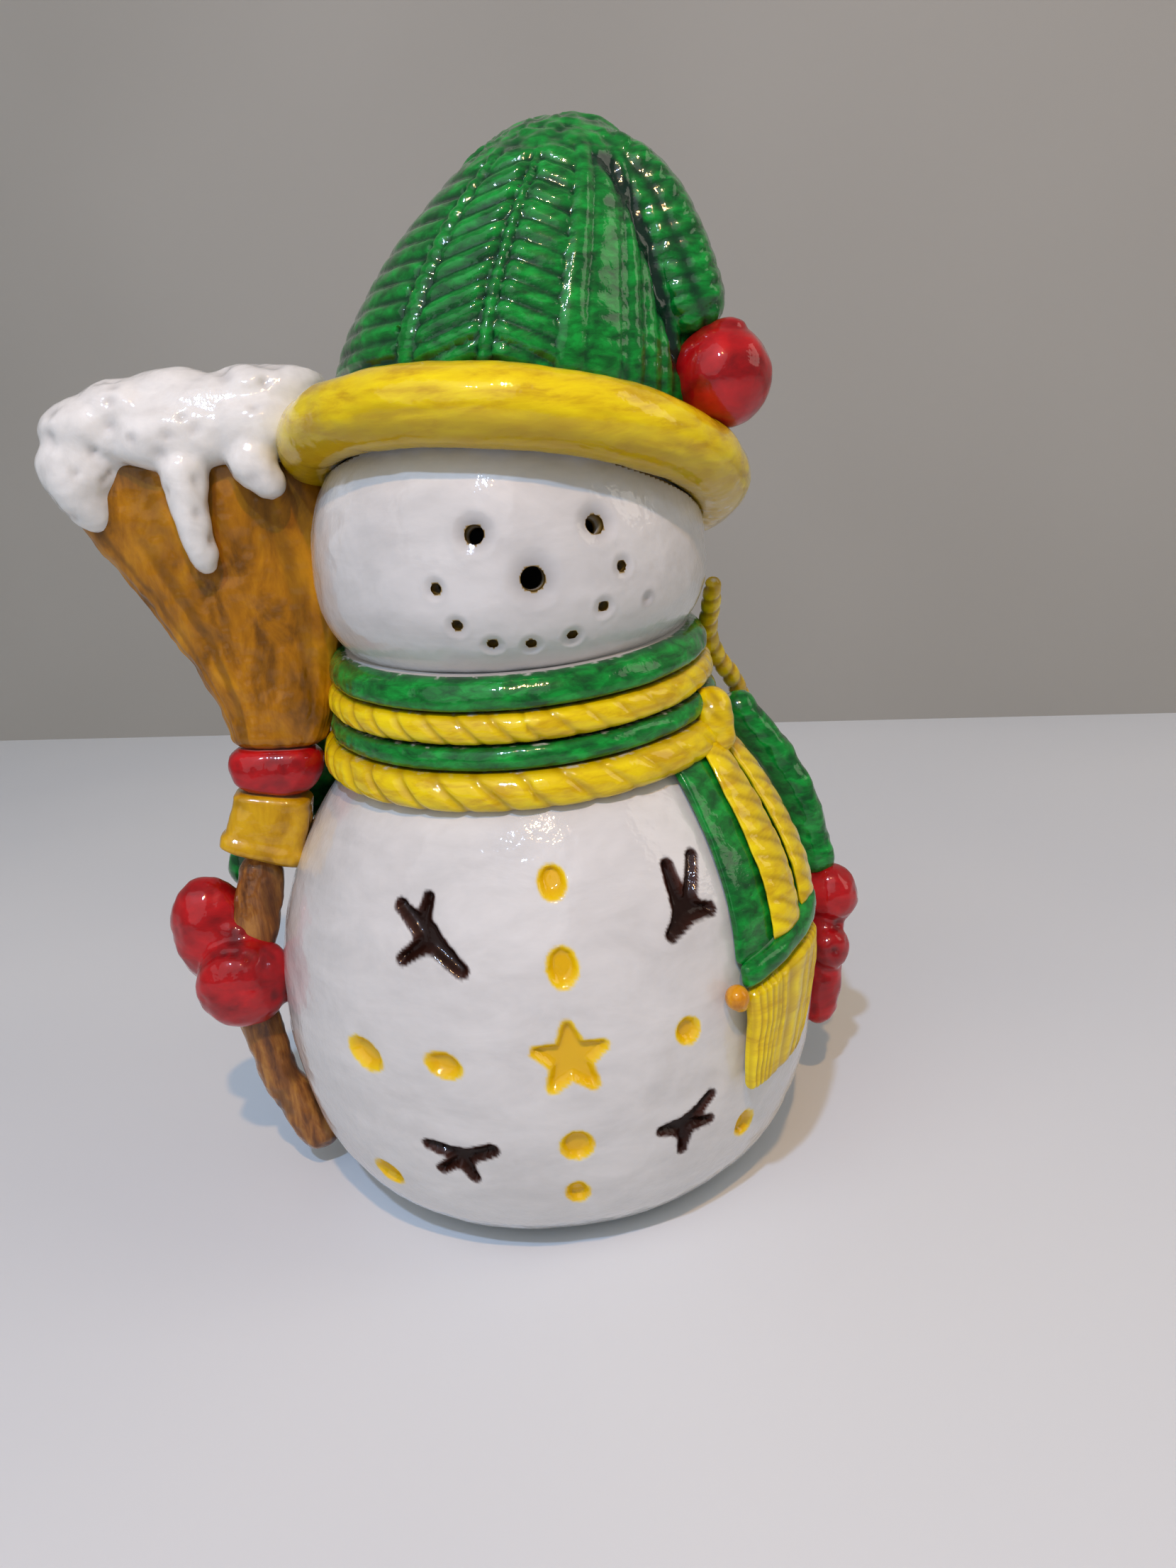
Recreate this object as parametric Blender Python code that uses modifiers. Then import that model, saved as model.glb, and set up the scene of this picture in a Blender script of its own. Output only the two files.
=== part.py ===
"""Snowman lantern figure: a hollow cast snowman with a knitted hat, a scarf and a broom.

Metres, +Z up. The origin is the centre of the flat foot, the face looks along -Y, and the
broom is at -X. Lengths below are in millimetres and mm() turns them to metres.
"""

import math

import bmesh
import bpy
from mathutils import Matrix, Vector


def mm(value):
    return value * 0.001


# Driving dimensions, in millimetres
WALL = 4.2  # thickness of the cast walls
FLOOR = 4.0  # thickness of the cast floor
GAP = 0.3  # clearance between neighbouring pieces
BODY_OUTER = [
    (26.0, 85.5), (26.2, 80.3), (31.2, 77.0), (36.4, 71.0), (42.0, 62.0), (45.8, 53.0),
    (47.8, 42.0), (48.2, 31.0), (46.8, 20.0), (43.2, 10.0), (37.6, 3.5), (30.8, 0.0),
]  # radius and height down the belly, from the neck to the foot
BODY_X = -1.1  # the belly's axis lies this far from the middle of the sculpted layout
HEAD_CENTRE = (-0.6, 0.0, 107.0)
HEAD_RADIUS = 33.0
HEAD_HALF_HEIGHT = 21.0  # of the lower half
HEAD_TOP_HEIGHT = 30.0  # of the upper half, which is also fuller
HEAD_TOP_POWER = 2.4
NECK_RADIUS = 25.6
NECK_TOP = 85.8  # height of the joint between body and head
HAT_CENTRE = (1.7, 2.0, 123.2)
HAT_LEAN_BACK = math.radians(16.0)
HAT_LEAN_SIDE = math.radians(9.8)
BRIM_RADIUS = 39.0
BRIM_ROLL = 5.7  # radius of the rolled edge
BRIM_UNDER = -3.2  # level of the brim's flat underside below the hat's centre
SCARF_CENTRE_X = -0.9
SCARF_SAG = 3.0  # how much lower the wrap hangs at the chin than at the nape
DOOR_HALF_WIDTH = 21.5
DOOR_SPRING = 36.0  # height where the rear opening's arch starts
DOOR_TOP = 46.0
LIGHT_RADIUS = 19.0
LIGHT_BASE = FLOOR + GAP
CASE_HEIGHT = 16.5
ROUND = 40  # sides of the large turned pieces

COLOURS = {
    "ivory_glaze": ((0.72, 0.70, 0.66, 1), 0.25),
    "green_glaze": ((0.0, 0.22, 0.04, 1), 0.2),
    "yellow_glaze": ((0.80, 0.55, 0.0, 1), 0.22),
    "red_glaze": ((0.50, 0.01, 0.01, 1), 0.15),
    "ochre_glaze": ((0.42, 0.17, 0.01, 1), 0.3),
    "brown_glaze": ((0.25, 0.09, 0.02, 1), 0.3),
    "snow_glaze": ((0.78, 0.78, 0.76, 1), 0.3),
    "white_plastic": ((0.80, 0.79, 0.74, 1), 0.4),
    "flame_plastic": ((0.85, 0.62, 0.25, 1), 0.3),
    "steel": ((0.62, 0.62, 0.60, 1), 0.3),
    "board": ((0.02, 0.16, 0.06, 1), 0.5),
    "black_plastic": ((0.02, 0.02, 0.02, 1), 0.4),
}


def clear_scene():
    for item in list(bpy.data.objects):
        bpy.data.objects.remove(item)


def collection(name):
    made = bpy.data.collections.new(name)
    bpy.context.scene.collection.children.link(made)
    return made


def material(name):
    found = bpy.data.materials.get(name)
    if found:
        return found
    made = bpy.data.materials.new(name)
    made.use_nodes = True
    colour, roughness = COLOURS[name]
    shader = made.node_tree.nodes["Principled BSDF"]
    shader.inputs["Base Color"].default_value = colour
    shader.inputs["Roughness"].default_value = roughness
    shader.inputs["Metallic"].default_value = 1.0 if name == "steel" else 0.0
    return made


clear_scene()
PARTS = collection("snowman_lantern")
CUTTERS = collection("cutters")


def add(name, mesh, slot=None):
    """Puts a mesh in the scene: a part if it has a material, or else a hidden cutter."""
    item = bpy.data.objects.new(name, mesh)
    (PARTS if slot else CUTTERS).objects.link(item)
    if slot:
        mesh.materials.clear()
        mesh.materials.append(material(slot))
        mesh.shade_smooth()
        mesh.set_sharp_from_angle(angle=math.radians(40))
    else:
        item.hide_render = True
        item.display_type = "WIRE"
    return item


def from_bmesh(name, shape, slot=None):
    bmesh.ops.recalc_face_normals(shape, faces=shape.faces[:])
    mesh = bpy.data.meshes.new(name)
    shape.to_mesh(mesh)
    shape.free()
    return add(name, mesh, slot)


def bake(item):
    """Replaces an object's mesh by its evaluated one, so that later cuts start from it."""
    bpy.context.view_layer.update()
    graph = bpy.context.evaluated_depsgraph_get()
    mesh = bpy.data.meshes.new_from_object(item.evaluated_get(graph))
    item.modifiers.clear()
    item.data = mesh
    return item


def combine(item, other, operation="DIFFERENCE", solver="EXACT"):
    """Cuts, joins or intersects item with other, a mesh object of its own."""
    change = item.modifiers.new(operation.lower(), "BOOLEAN")
    change.operation = operation
    change.solver = solver
    change.object = other
    bake(item)
    return item


def drop_scraps(item):
    """Keeps the largest body of a piece, and drops what a cut left behind inside the wall."""
    shape = bmesh.new()
    shape.from_mesh(item.data)
    bmesh.ops.dissolve_degenerate(shape, dist=mm(0.002), edges=shape.edges[:])
    waiting, bodies = set(shape.faces), []
    while waiting:
        body, edge_of = set(), [waiting.pop()]
        while edge_of:
            face = edge_of.pop()
            body.add(face)
            for edge in face.edges:
                for near in edge.link_faces:
                    if near in waiting:
                        waiting.remove(near)
                        edge_of.append(near)
        bodies.append(body)
    bodies.sort(key=lambda body: sum(face.calc_area() for face in body))
    for body in bodies[:-1]:
        bmesh.ops.delete(shape, geom=list(body), context="FACES")
    shape.to_mesh(item.data)
    shape.free()


def joined(item, *others):
    for other in others:
        combine(item, other, "UNION")
        bpy.data.objects.remove(other)
    return item


def turned(name, profile, slot=None, segments=48):
    """Turns a profile of (radius, height) about Z. It is closed from its last point to its
    first unless both lie on the axis."""
    mesh = bpy.data.meshes.new(name)
    count = len(profile)
    closed = profile[0][0] > 0 or profile[-1][0] > 0
    edges = [(n, (n + 1) % count) for n in range(count if closed else count - 1)]
    mesh.from_pydata([(mm(r), 0, mm(z)) for r, z in profile], edges, [])
    item = add(name, mesh)
    screw = item.modifiers.new("turn", "SCREW")
    screw.steps = screw.render_steps = segments
    screw.use_merge_vertices = True
    screw.merge_threshold = 0.00001
    bake(item)
    shape = bmesh.new()
    shape.from_mesh(item.data)
    bpy.data.objects.remove(item)
    return from_bmesh(name, shape, slot)


def lofted(name, rings, slot=None):
    """Skins rings that all have the same number of points, and caps both ends."""
    shape = bmesh.new()
    rows = [[shape.verts.new([mm(v) for v in point]) for point in ring] for ring in rings]
    for low, high in zip(rows, rows[1:]):
        for n in range(len(low)):
            after = (n + 1) % len(low)
            shape.faces.new((low[n], low[after], high[after], high[n]))
    shape.faces.new(rows[0][::-1])
    shape.faces.new(rows[-1])
    return from_bmesh(name, shape, slot)


def ball(name, centre, radii, slot=None, segments=16, turn=(0, 0, 0)):
    shape = bmesh.new()
    bmesh.ops.create_uvsphere(shape, u_segments=segments, v_segments=segments * 5 // 8, radius=1)
    place = Matrix.Translation([mm(v) for v in centre])
    for axis, angle in zip("XYZ", turn):
        place = place @ Matrix.Rotation(math.radians(angle), 4, axis)
    stretch = Matrix.Diagonal([mm(r) for r in radii] + [1])
    bmesh.ops.transform(shape, matrix=place @ stretch, verts=shape.verts)
    return from_bmesh(name, shape, slot)


def box(name, low, high, slot=None):
    shape = bmesh.new()
    bmesh.ops.create_cube(shape, size=1)
    size = [mm(b - a) for a, b in zip(low, high)]
    middle = [mm(a + b) / 2 for a, b in zip(low, high)]
    place = Matrix.Translation(middle) @ Matrix.Diagonal(size + [1])
    bmesh.ops.transform(shape, matrix=place, verts=shape.verts)
    return from_bmesh(name, shape, slot)


def tube(name, points, radii, slot=None, sides=3):
    """A bevelled curve through points in millimetres, with its own radius at each one."""
    curve = bpy.data.curves.new(name, "CURVE")
    curve.dimensions = "3D"
    curve.bevel_depth = mm(1)
    curve.bevel_resolution = sides
    curve.use_fill_caps = True
    spline = curve.splines.new("NURBS")
    spline.points.add(len(points) - 1)
    for knot, point, radius in zip(spline.points, points, radii):
        knot.co = [mm(v) for v in point] + [1]
        knot.radius = radius
    spline.use_endpoint_u = True
    spline.order_u = min(4, len(points))
    spline.resolution_u = 3
    item = bpy.data.objects.new(name, curve)
    CUTTERS.objects.link(item)
    bake_mesh = bpy.data.meshes.new_from_object(evaluated(item))
    shape = bmesh.new()
    shape.from_mesh(bake_mesh)
    bmesh.ops.remove_doubles(shape, verts=shape.verts, dist=0.000005)
    bpy.data.objects.remove(item)
    return from_bmesh(name, shape, slot)


def wider_tube(name, points, radii, sides=3):
    """A tube's own shape, larger by the gap, to cut its neighbours with."""
    return tube(name, points, [radius + GAP for radius in radii], sides=sides)


def evaluated(item):
    bpy.context.view_layer.update()
    return item.evaluated_get(bpy.context.evaluated_depsgraph_get())


def smoothed(points, steps=2):
    """Adds steps - 1 points of a Catmull-Rom curve between each two of an outline's points."""
    out = []
    for n in range(len(points) - 1):
        a, b, c, d = (Vector(points[max(0, min(len(points) - 1, n + k))]) for k in (-1, 0, 1, 2))
        for step in range(steps):
            t = step / steps
            out.append(tuple(0.5 * (2 * b + (c - a) * t + (2 * a - 5 * b + 4 * c - d) * t ** 2
                                    + (3 * b - a - 3 * c + d) * t ** 3)))
    return out + [tuple(points[-1])]


def outline_radius(outline, height):
    """The radius of a falling outline at a height."""
    for (r_up, z_up), (r_low, z_low) in zip(outline, outline[1:]):
        if z_low <= height <= z_up:
            return r_low + (r_up - r_low) * (height - z_low) / (z_up - z_low)
    return outline[0][0]


def grown(outline, amount):
    """An outline moved outwards, square to itself."""
    out = []
    for n, (r, z) in enumerate(outline):
        (r_a, z_a), (r_b, z_b) = outline[max(n - 1, 0)], outline[min(n + 1, len(outline) - 1)]
        length = math.hypot(r_b - r_a, z_b - z_a)
        out.append((r + amount * (z_a - z_b) / length, z + amount * (r_b - r_a) / length))
    return out


def at_angle(azimuth, radius, height, centre=(0.0, 0.0)):
    """A point at an azimuth measured from the front (-Y) towards +X."""
    angle = math.radians(azimuth)
    return (centre[0] + radius * math.sin(angle), centre[1] - radius * math.cos(angle), height)


def hat_place():
    return (
        Matrix.Translation([mm(v) for v in HAT_CENTRE])
        @ Matrix.Rotation(-HAT_LEAN_BACK, 4, "X")
        @ Matrix.Rotation(HAT_LEAN_SIDE, 4, "Y")
    )


def head_radius(height):
    """The head's radius at a height: an ellipsoid, fuller above its widest level."""
    lift = height - HEAD_CENTRE[2]
    half, power = (HEAD_TOP_HEIGHT, HEAD_TOP_POWER) if lift > 0 else (HEAD_HALF_HEIGHT, 2.0)
    return HEAD_RADIUS * max(1 - (abs(lift) / half) ** power, 0) ** (1 / power)


def head_outline(grow=0.0):
    """Radius and height down the head, running into the neck."""
    points = []
    for degrees in range(76, -40, -12):
        half = HEAD_TOP_HEIGHT if degrees > 0 else HEAD_HALF_HEIGHT
        height = HEAD_CENTRE[2] + half * math.sin(math.radians(degrees))
        points.append((head_radius(height), height))
    points += [(NECK_RADIUS + 0.6, 90.0), (NECK_RADIUS, NECK_TOP)]
    return grown(points, grow)


BODY_CURVE = BODY_OUTER[:3] + smoothed(BODY_OUTER[3:])


def body_clearance():
    """The belly and head, larger by the gap, for cutting what lies on them."""
    belly = [(0, 87.0), (26.3, 86.9)] + grown(BODY_CURVE, GAP) + [(31.5, -2.0), (0, -2.0)]
    item = turned("body_clearance", belly, segments=ROUND)
    item.location.x = mm(BODY_X)
    head = turned("head_clearance", [(0, 137.0)] + head_outline(GAP) + [(0, NECK_TOP)], segments=ROUND)
    head.location = (mm(HEAD_CENTRE[0]), 0, 0)
    return item, head


def belly_surface(azimuth, height, out=0.0):
    """Point and outward normal on the belly."""
    low, high = outline_radius(BODY_CURVE, height - 1), outline_radius(BODY_CURVE, height + 1)
    radius = outline_radius(BODY_CURVE, height)
    slope = (low - high) / 2
    angle = math.radians(azimuth)
    normal = Vector((math.sin(angle), -math.cos(angle), slope)).normalized()
    return Vector(at_angle(azimuth, radius, height, (BODY_X, 0))) + normal * out, normal


# The belly's painted recesses: azimuth, height, width, height of the oval and turn
DOTS = [
    (2, 65.3, 4.4, 5.6, 0), (2, 54.1, 4.7, 6.4, 0), (1.3, 25.5, 5.4, 5.4, 0), (0.6, 15.9, 3.9, 5.0, 0),
    (-38.5, 39.7, 7.2, 4.8, -25), (-21.5, 39.9, 6.2, 4.2, -15), (24, 40.6, 4.3, 4.6, 0),
    (38, 18.6, 4.6, 5.6, 20), (-40, 16.6, 5.8, 5.0, -30),
]
STAR = (1.7, 40.3, 7.0, 3.1)
# The twigs: azimuth, height, and each arm's direction and length
TWIGS = [
    (-24.2, 58.9, [(150, 4.6), (92, 5.2), (212, 4.6), (-42, 8.0)]),
    (29.2, 59.3, [(118, 5.6), (52, 6.6), (-12, 5.0), (218, 6.4)]),
    (-21.1, 23.7, [(178, 5.0), (28, 6.2), (228, 5.0), (-70, 5.4)]),
    (22.5, 24.5, [(48, 6.6), (-4, 4.8), (-78, 5.4), (182, 6.4)]),
]
RECESS_DEPTH = 1.6


def prism_on_belly(name, azimuth, height, outline, turn=0.0):
    """A prism through a flat outline, standing square on the belly, sunk by the recess depth."""
    point, normal = belly_surface(azimuth, height)
    across = Vector((math.cos(math.radians(azimuth)), math.sin(math.radians(azimuth)), 0))
    up = normal.cross(across)
    rings = []
    for level in (-RECESS_DEPTH, 3.0):
        ring = []
        for u, v in outline:
            c, s = math.cos(math.radians(turn)), math.sin(math.radians(turn))
            ring.append(point + across * (u * c - v * s) + up * (u * s + v * c) + normal * level)
        rings.append(ring)
    return lofted(name, rings)


def oval(width, height, count=14):
    return [
        (width / 2 * math.cos(math.tau * n / count), height / 2 * math.sin(math.tau * n / count))
        for n in range(count)
    ]


def star(outer, inner):
    radii = (outer, inner)
    return [
        (radii[n % 2] * math.sin(math.tau * n / 10), radii[n % 2] * math.cos(math.tau * n / 10))
        for n in range(10)
    ]


def twig(arms, half_width=1.25):
    """The outline of a few stubby arms from one middle."""
    points = []
    arms = sorted((direction % 360, length) for direction, length in arms)
    for n, (direction, length) in enumerate(arms):
        along = Vector((math.cos(math.radians(direction)), math.sin(math.radians(direction))))
        side = Vector((-along.y, along.x)) * half_width
        tip = along * length
        points += [tip - side, tip + along * 0.8, tip + side]
        following = arms[(n + 1) % len(arms)][0] + (360 if n + 1 == len(arms) else 0)
        middle = math.radians((direction + following) / 2)
        opening = max(math.sin(math.radians(min(following - direction, 170)) / 2), 0.3)
        points.append(Vector((math.cos(middle), math.sin(middle))) * half_width / opening)
    return [tuple(p) for p in points]


def make_body():
    inner = [(0, FLOOR), (30.0, FLOOR)]
    inner += [p for p in grown(BODY_OUTER, -WALL)[::-1] if FLOOR + 4 < p[1] < 74]
    inner += [(NECK_RADIUS - WALL, 79.0), (NECK_RADIUS - WALL, 85.5)]
    item = turned("body_shell", inner + BODY_CURVE + [(0, 0)], "ivory_glaze", ROUND)
    item.location.x = mm(BODY_X)
    arch = [(-DOOR_HALF_WIDTH, FLOOR), (DOOR_HALF_WIDTH, FLOOR)]
    arch += [
        (DOOR_HALF_WIDTH * math.cos(math.pi * n / 12),
         DOOR_SPRING + (DOOR_TOP - DOOR_SPRING) * math.sin(math.pi * n / 12))
        for n in range(13)
    ]
    doorway = lofted("doorway", [[(BODY_X + x, y, z) for x, z in arch] for y in (12.0, 60.0)])
    combine(item, doorway)
    for n, (azimuth, height, width, tall, turn) in enumerate(DOTS):
        combine(item, prism_on_belly(f"dot_{n}", azimuth, height, oval(width, tall), turn))
    combine(item, prism_on_belly("star", STAR[0], STAR[1], star(*STAR[2:])))
    for n, (azimuth, height, arms) in enumerate(TWIGS):
        combine(item, prism_on_belly(f"twig_{n}", azimuth, height, twig(arms)))
    return item


# The face's through holes: azimuth, height, bore radius
FACE_HOLES = [
    (-9.0, 115.8, 1.35), (23.2, 115.5, 1.35), (4.8, 108.8, 1.7), (-20.4, 108.5, 0.75),
    (-16.2, 102.8, 0.75), (-7.6, 99.5, 0.75), (3.0, 99.0, 0.75), (14.7, 99.5, 0.75),
    (23.3, 103.4, 0.75), (29.2, 109.0, 0.75),
]


def make_head():
    outer = head_outline()
    inner = [p for p in grown(outer, -WALL)[::-1] if p[1] > NECK_TOP + 1]
    profile = [(NECK_RADIUS - WALL, NECK_TOP)] + inner + [(2.0, 122.0)] + outer
    item = turned("head_shell", profile, "ivory_glaze", ROUND)
    item.location.x = mm(HEAD_CENTRE[0])
    over = box("over_head", (-60, -60, BRIM_UNDER - GAP), (60, 60, 40))
    over.matrix_world = hat_place()
    combine(item, over)
    brim_room = turned("head_brim_room", brim_profile(GAP), segments=ROUND)
    brim_room.matrix_world = hat_place()
    combine(item, brim_room)
    for n, (azimuth, height, radius) in enumerate(FACE_HOLES):
        ring = oval(2 * radius, 2 * radius, 12)
        middle = Vector(HEAD_CENTRE[:2])
        angle = math.radians(azimuth)
        slope = (head_radius(height - 1) - head_radius(height + 1)) / 2
        out = Vector((math.sin(angle), -math.cos(angle), slope)).normalized()
        across = Vector((math.cos(angle), math.sin(angle), 0))
        up = out.cross(across)
        start = Vector(at_angle(azimuth, head_radius(height), height, middle))
        rows = [
            [start + across * u * flare + up * v * flare + out * level for u, v in ring]
            for level, flare in ((-9.0, 1.0), (-0.9, 1.0), (1.6, 2.6))
        ]
        local = lofted(f"face_hole_{n}", rows)
        combine(item, local)
    return item


def brim_profile(grow=0.0):
    """The brim's section in the hat's frame: a disc with a flat underside and a rolled edge."""
    centre = BRIM_RADIUS - BRIM_ROLL
    roll = BRIM_ROLL + grow
    arc = []
    for angle in range(165, -140, -32):
        turn = math.radians(angle)
        arc.append((centre + roll * math.cos(turn), roll * math.sin(turn)))
    level = 1.0 + grow
    under = BRIM_UNDER - grow
    return [(20.5, under), (20.5, level), (28.0 - grow, level)] + arc + [(28.6, under)]


# The crown's rings: height along the hat, centre x and y there, radius, all in the world's mm
CROWN_RINGS = [
    (124.9, 2.4, 2.0, 27.0, 1.0), (130.4, 2.8, 2.0, 29.6, 1.0), (136.4, 3.8, 2.0, 29.0, 0.9),
    (143.2, 5.2, 2.3, 27.2, 0.75), (150.0, 7.0, 2.6, 24.9, 0.6), (157.0, 9.0, 3.0, 21.8, 0.45),
    (163.5, 11.0, 3.0, 18.0, 0.3), (169.0, 12.6, 3.0, 13.4, 0.2), (173.0, 13.6, 3.0, 8.2, 0.1),
    (175.0, 14.0, 3.0, 2.5, 0.0),
]


def crown_rings(shrink, count):
    rings = []
    for height, x, y, radius, lean in CROWN_RINGS:
        inner = radius - shrink
        if inner < 2:
            continue
        turn = Matrix.Rotation(-HAT_LEAN_BACK * lean, 4, "X")
        turn = turn @ Matrix.Rotation(HAT_LEAN_SIDE * lean, 4, "Y")
        ring = []
        for n in range(count):
            angle = math.tau * n / count
            spoke = Vector((inner * math.sin(angle), -inner * math.cos(angle), 0))
            ring.append(Vector((x, y, height)) + turn @ spoke)
        rings.append(ring)
    return rings


# The folded tip's path down the hat's side to the pompom
FOLD_PATH = [
    (13, -1, 166.5), (19.5, -4, 166), (24.6, -6, 161.5), (28.2, -8, 153.5), (30.4, -9.5, 146),
    (32.4, -11, 141),
]
FOLD_RADII = [5.0, 5.4, 5.8, 6.0, 5.8, 5.2]
POMPOM_CENTRE = (34.6, -12.5, 134.6)
POMPOM_RADIUS = 7.9


def make_hat():
    brim = turned("hat_brim", brim_profile(), "yellow_glaze", ROUND)
    brim.matrix_world = hat_place()
    crown = lofted("hat_crown", crown_rings(0, 32), "green_glaze")
    joined(crown, tube("fold", FOLD_PATH, FOLD_RADII))
    inside = crown_rings(WALL, 16)
    mouth = [point - Vector((0, 0, 9)) for point in inside[0]]
    combine(crown, lofted("crown_hollow", [mouth] + inside))
    keep = turned("brim_clearance", brim_profile(GAP), segments=ROUND)
    keep.matrix_world = hat_place()
    combine(crown, keep)
    below = box("below_crown", (-60, -60, -30), (60, 60, 1.0 + GAP))
    below.matrix_world = hat_place()
    combine(crown, below)
    pompom = ball("hat_pompom", POMPOM_CENTRE, [POMPOM_RADIUS] * 3, "red_glaze", 16)
    combine(pompom, lofted("crown_clearance", crown_rings(-GAP, 36)))
    combine(pompom, keep)
    combine(pompom, wider_tube("fold_clearance", FOLD_PATH, FOLD_RADII))


KNOT_RADII = (4.0, 5.2, 5.4)

# The wrap's four bands: lower and upper level at the nape's side, outer radius below and above, bulge
BANDS = [
    ("scarf_yellow_hem", "yellow_glaze", 77.9, 83.6, 34.3, 33.6, 1.5),
    ("scarf_green_band", "green_glaze", 83.9, 87.5, 33.2, 32.8, 0.5),
    ("scarf_yellow_cord", "yellow_glaze", 87.8, 92.5, 32.2, 31.7, 1.3),
    ("scarf_green_roll", "green_glaze", 92.8, 97.8, 32.0, 30.2, 1.2),
]


def sag(item):
    """Lets a turned ring hang lower in front, and moves it to the neck's own centre."""
    for vertex in item.data.vertices:
        x, y = vertex.co.x, vertex.co.y
        front = 0.5 * (1 - y / max(math.hypot(x, y), 1e-6))
        vertex.co.z -= mm(SCARF_SAG) * front ** 2
        vertex.co.x += mm(SCARF_CENTRE_X)
    return item


def make_scarf(clearances):
    for name, slot, low, high, r_low, r_high, bulge in BANDS:
        middle = (low + high) / 2
        quarter = (high - low) / 4
        profile = [
            (27.0, high), (r_high - 0.8, high), (r_high + bulge * 0.6, high - quarter * 0.7),
            ((r_low + r_high) / 2 + bulge, middle), (r_low + bulge * 0.6, low + quarter * 0.7),
            (r_low - 0.8, low), (27.0, low),
        ]
        item = sag(turned(name, profile, slot, 32))
        for clearance in clearances:
            combine(item, clearance)


def scarf_clearance():
    """All four bands as one ring, larger by the gap."""
    profile = [(10.0, BANDS[-1][3] + GAP)]
    for _, _, low, high, r_low, r_high, bulge in BANDS[::-1]:
        profile.append((r_high + bulge * 0.7 + GAP, high - 0.2))
        profile.append(((r_low + r_high) / 2 + bulge + GAP, (low + high) / 2))
    _, _, hem_low, _, hem_radius, _, hem_bulge = BANDS[0]
    profile.append((hem_radius + hem_bulge * 0.7 + GAP, hem_low))
    profile += [(hem_radius - 0.5, hem_low - GAP), (10.0, hem_low - GAP)]
    return sag(turned("scarf_clearance", profile, segments=32))


def strip(name, slot, rows, columns=4):
    """A band lying on the belly. Each row is height, two azimuths, and inner and outer height
    above the belly's surface."""
    rings = []
    for height, start, stop, inner, outer in rows:
        across = [start + (stop - start) * n / columns for n in range(columns + 1)]
        ring = [belly_surface(a, height, outer)[0] for a in across]
        ring += [belly_surface(a, height, inner)[0] for a in across[::-1]]
        rings.append(ring)
    return lofted(name, rings, slot)


# The orange bead at the hem's end: azimuth, height, and height above the belly's surface
TAIL_KNOT = (33.4, 43.6, 2.6)
TAIL_KNOT_RADII = (1.9, 2.2, 2.2)


def make_front_tail(wrap, clearances):
    panel = strip("tail_green_panel", "green_glaze", [
        (78.5, 43, 80, 0.3, 2.2), (72, 41, 78, 0.3, 2.2), (66, 40, 76, 0.3, 2.2),
        (58, 38.4, 72, 0.3, 2.2), (50.4, 36.4, 67, 0.3, 2.2),
    ])
    inner_cord = strip("tail_cord_inner", "yellow_glaze", [
        (78.5, 57, 67.6, 2.5, 3.8), (72, 51, 63.4, 2.5, 3.8), (66, 49, 61.2, 2.5, 3.8),
        (58, 47.4, 58.8, 2.5, 3.8), (50.4, 45.4, 55.6, 2.5, 3.8),
    ], 3)
    outer_cord = strip("tail_cord_outer", "yellow_glaze", [
        (78.5, 69.6, 79, 2.5, 3.8), (72, 66, 77, 2.5, 3.8), (66, 64, 75, 2.5, 3.8),
        (58, 61.4, 71.4, 2.5, 3.8), (50.4, 58.4, 66.6, 2.5, 3.8),
    ], 3)
    hem = strip("tail_hem", "green_glaze", [
        (49.8, 36, 67.6, 0.3, 4.0), (47.9, 36, 66.4, 0.3, 4.4), (46.0, 36, 65.0, 0.3, 4.0),
    ])
    fringe = strip("tail_fringe", "yellow_glaze", [
        (45.2, 36.5, 63, 0.3, 4.4), (40, 36, 59, 0.3, 4.2), (34, 35, 54, 0.3, 4.0),
        (29, 35, 49.5, 0.3, 3.8),
    ])
    for item in (panel, inner_cord, outer_cord):
        combine(item, wrap)
    combine(panel, clearances[0])
    ball("tail_knot", belly_surface(*TAIL_KNOT)[0], TAIL_KNOT_RADII, "ochre_glaze", 12)
    return panel, inner_cord, outer_cord


BACK_CORD_PATH = [
    (33.2, -3.5, 102.5), (33.3, 1.5, 97.5), (33.4, 6, 92), (35.2, 9, 87), (39, 12.8, 81),
    (41.2, 16.6, 74), (41.2, 20.2, 64.5), (41.8, 23.8, 56), (41.5, 25.0, 51.5),
]
BACK_CORD_RADII = [1.4, 1.7, 1.8, 1.8, 1.8, 1.8, 1.8, 1.8, 1.5]


def make_back_tail(wrap, clearances):
    cord = tube("back_tail_cord", BACK_CORD_PATH, BACK_CORD_RADII, "yellow_glaze", 2)
    panel = strip("back_tail_panel", "green_glaze", [
        (77.5, 108, 134, 0.3, 2.6), (72, 112, 137, 0.3, 2.6), (64.5, 116, 140, 0.3, 2.6),
        (57, 119, 142, 0.3, 2.6), (51, 120, 143, 0.3, 2.6),
    ], 3)
    fringe = strip("back_tail_fringe", "yellow_glaze", [
        (50.7, 118, 144, 0.3, 3.4), (44, 119, 144, 0.3, 3.2), (38, 121, 143, 0.3, 2.8),
    ], 3)
    bound = wider_tube("back_cord_bound", BACK_CORD_PATH, BACK_CORD_RADII, 2)
    combine(panel, bound)
    combine(fringe, bound)
    for item in (cord, panel):
        for clearance in (wrap, *clearances):
            combine(item, clearance)
    return bound, panel


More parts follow.
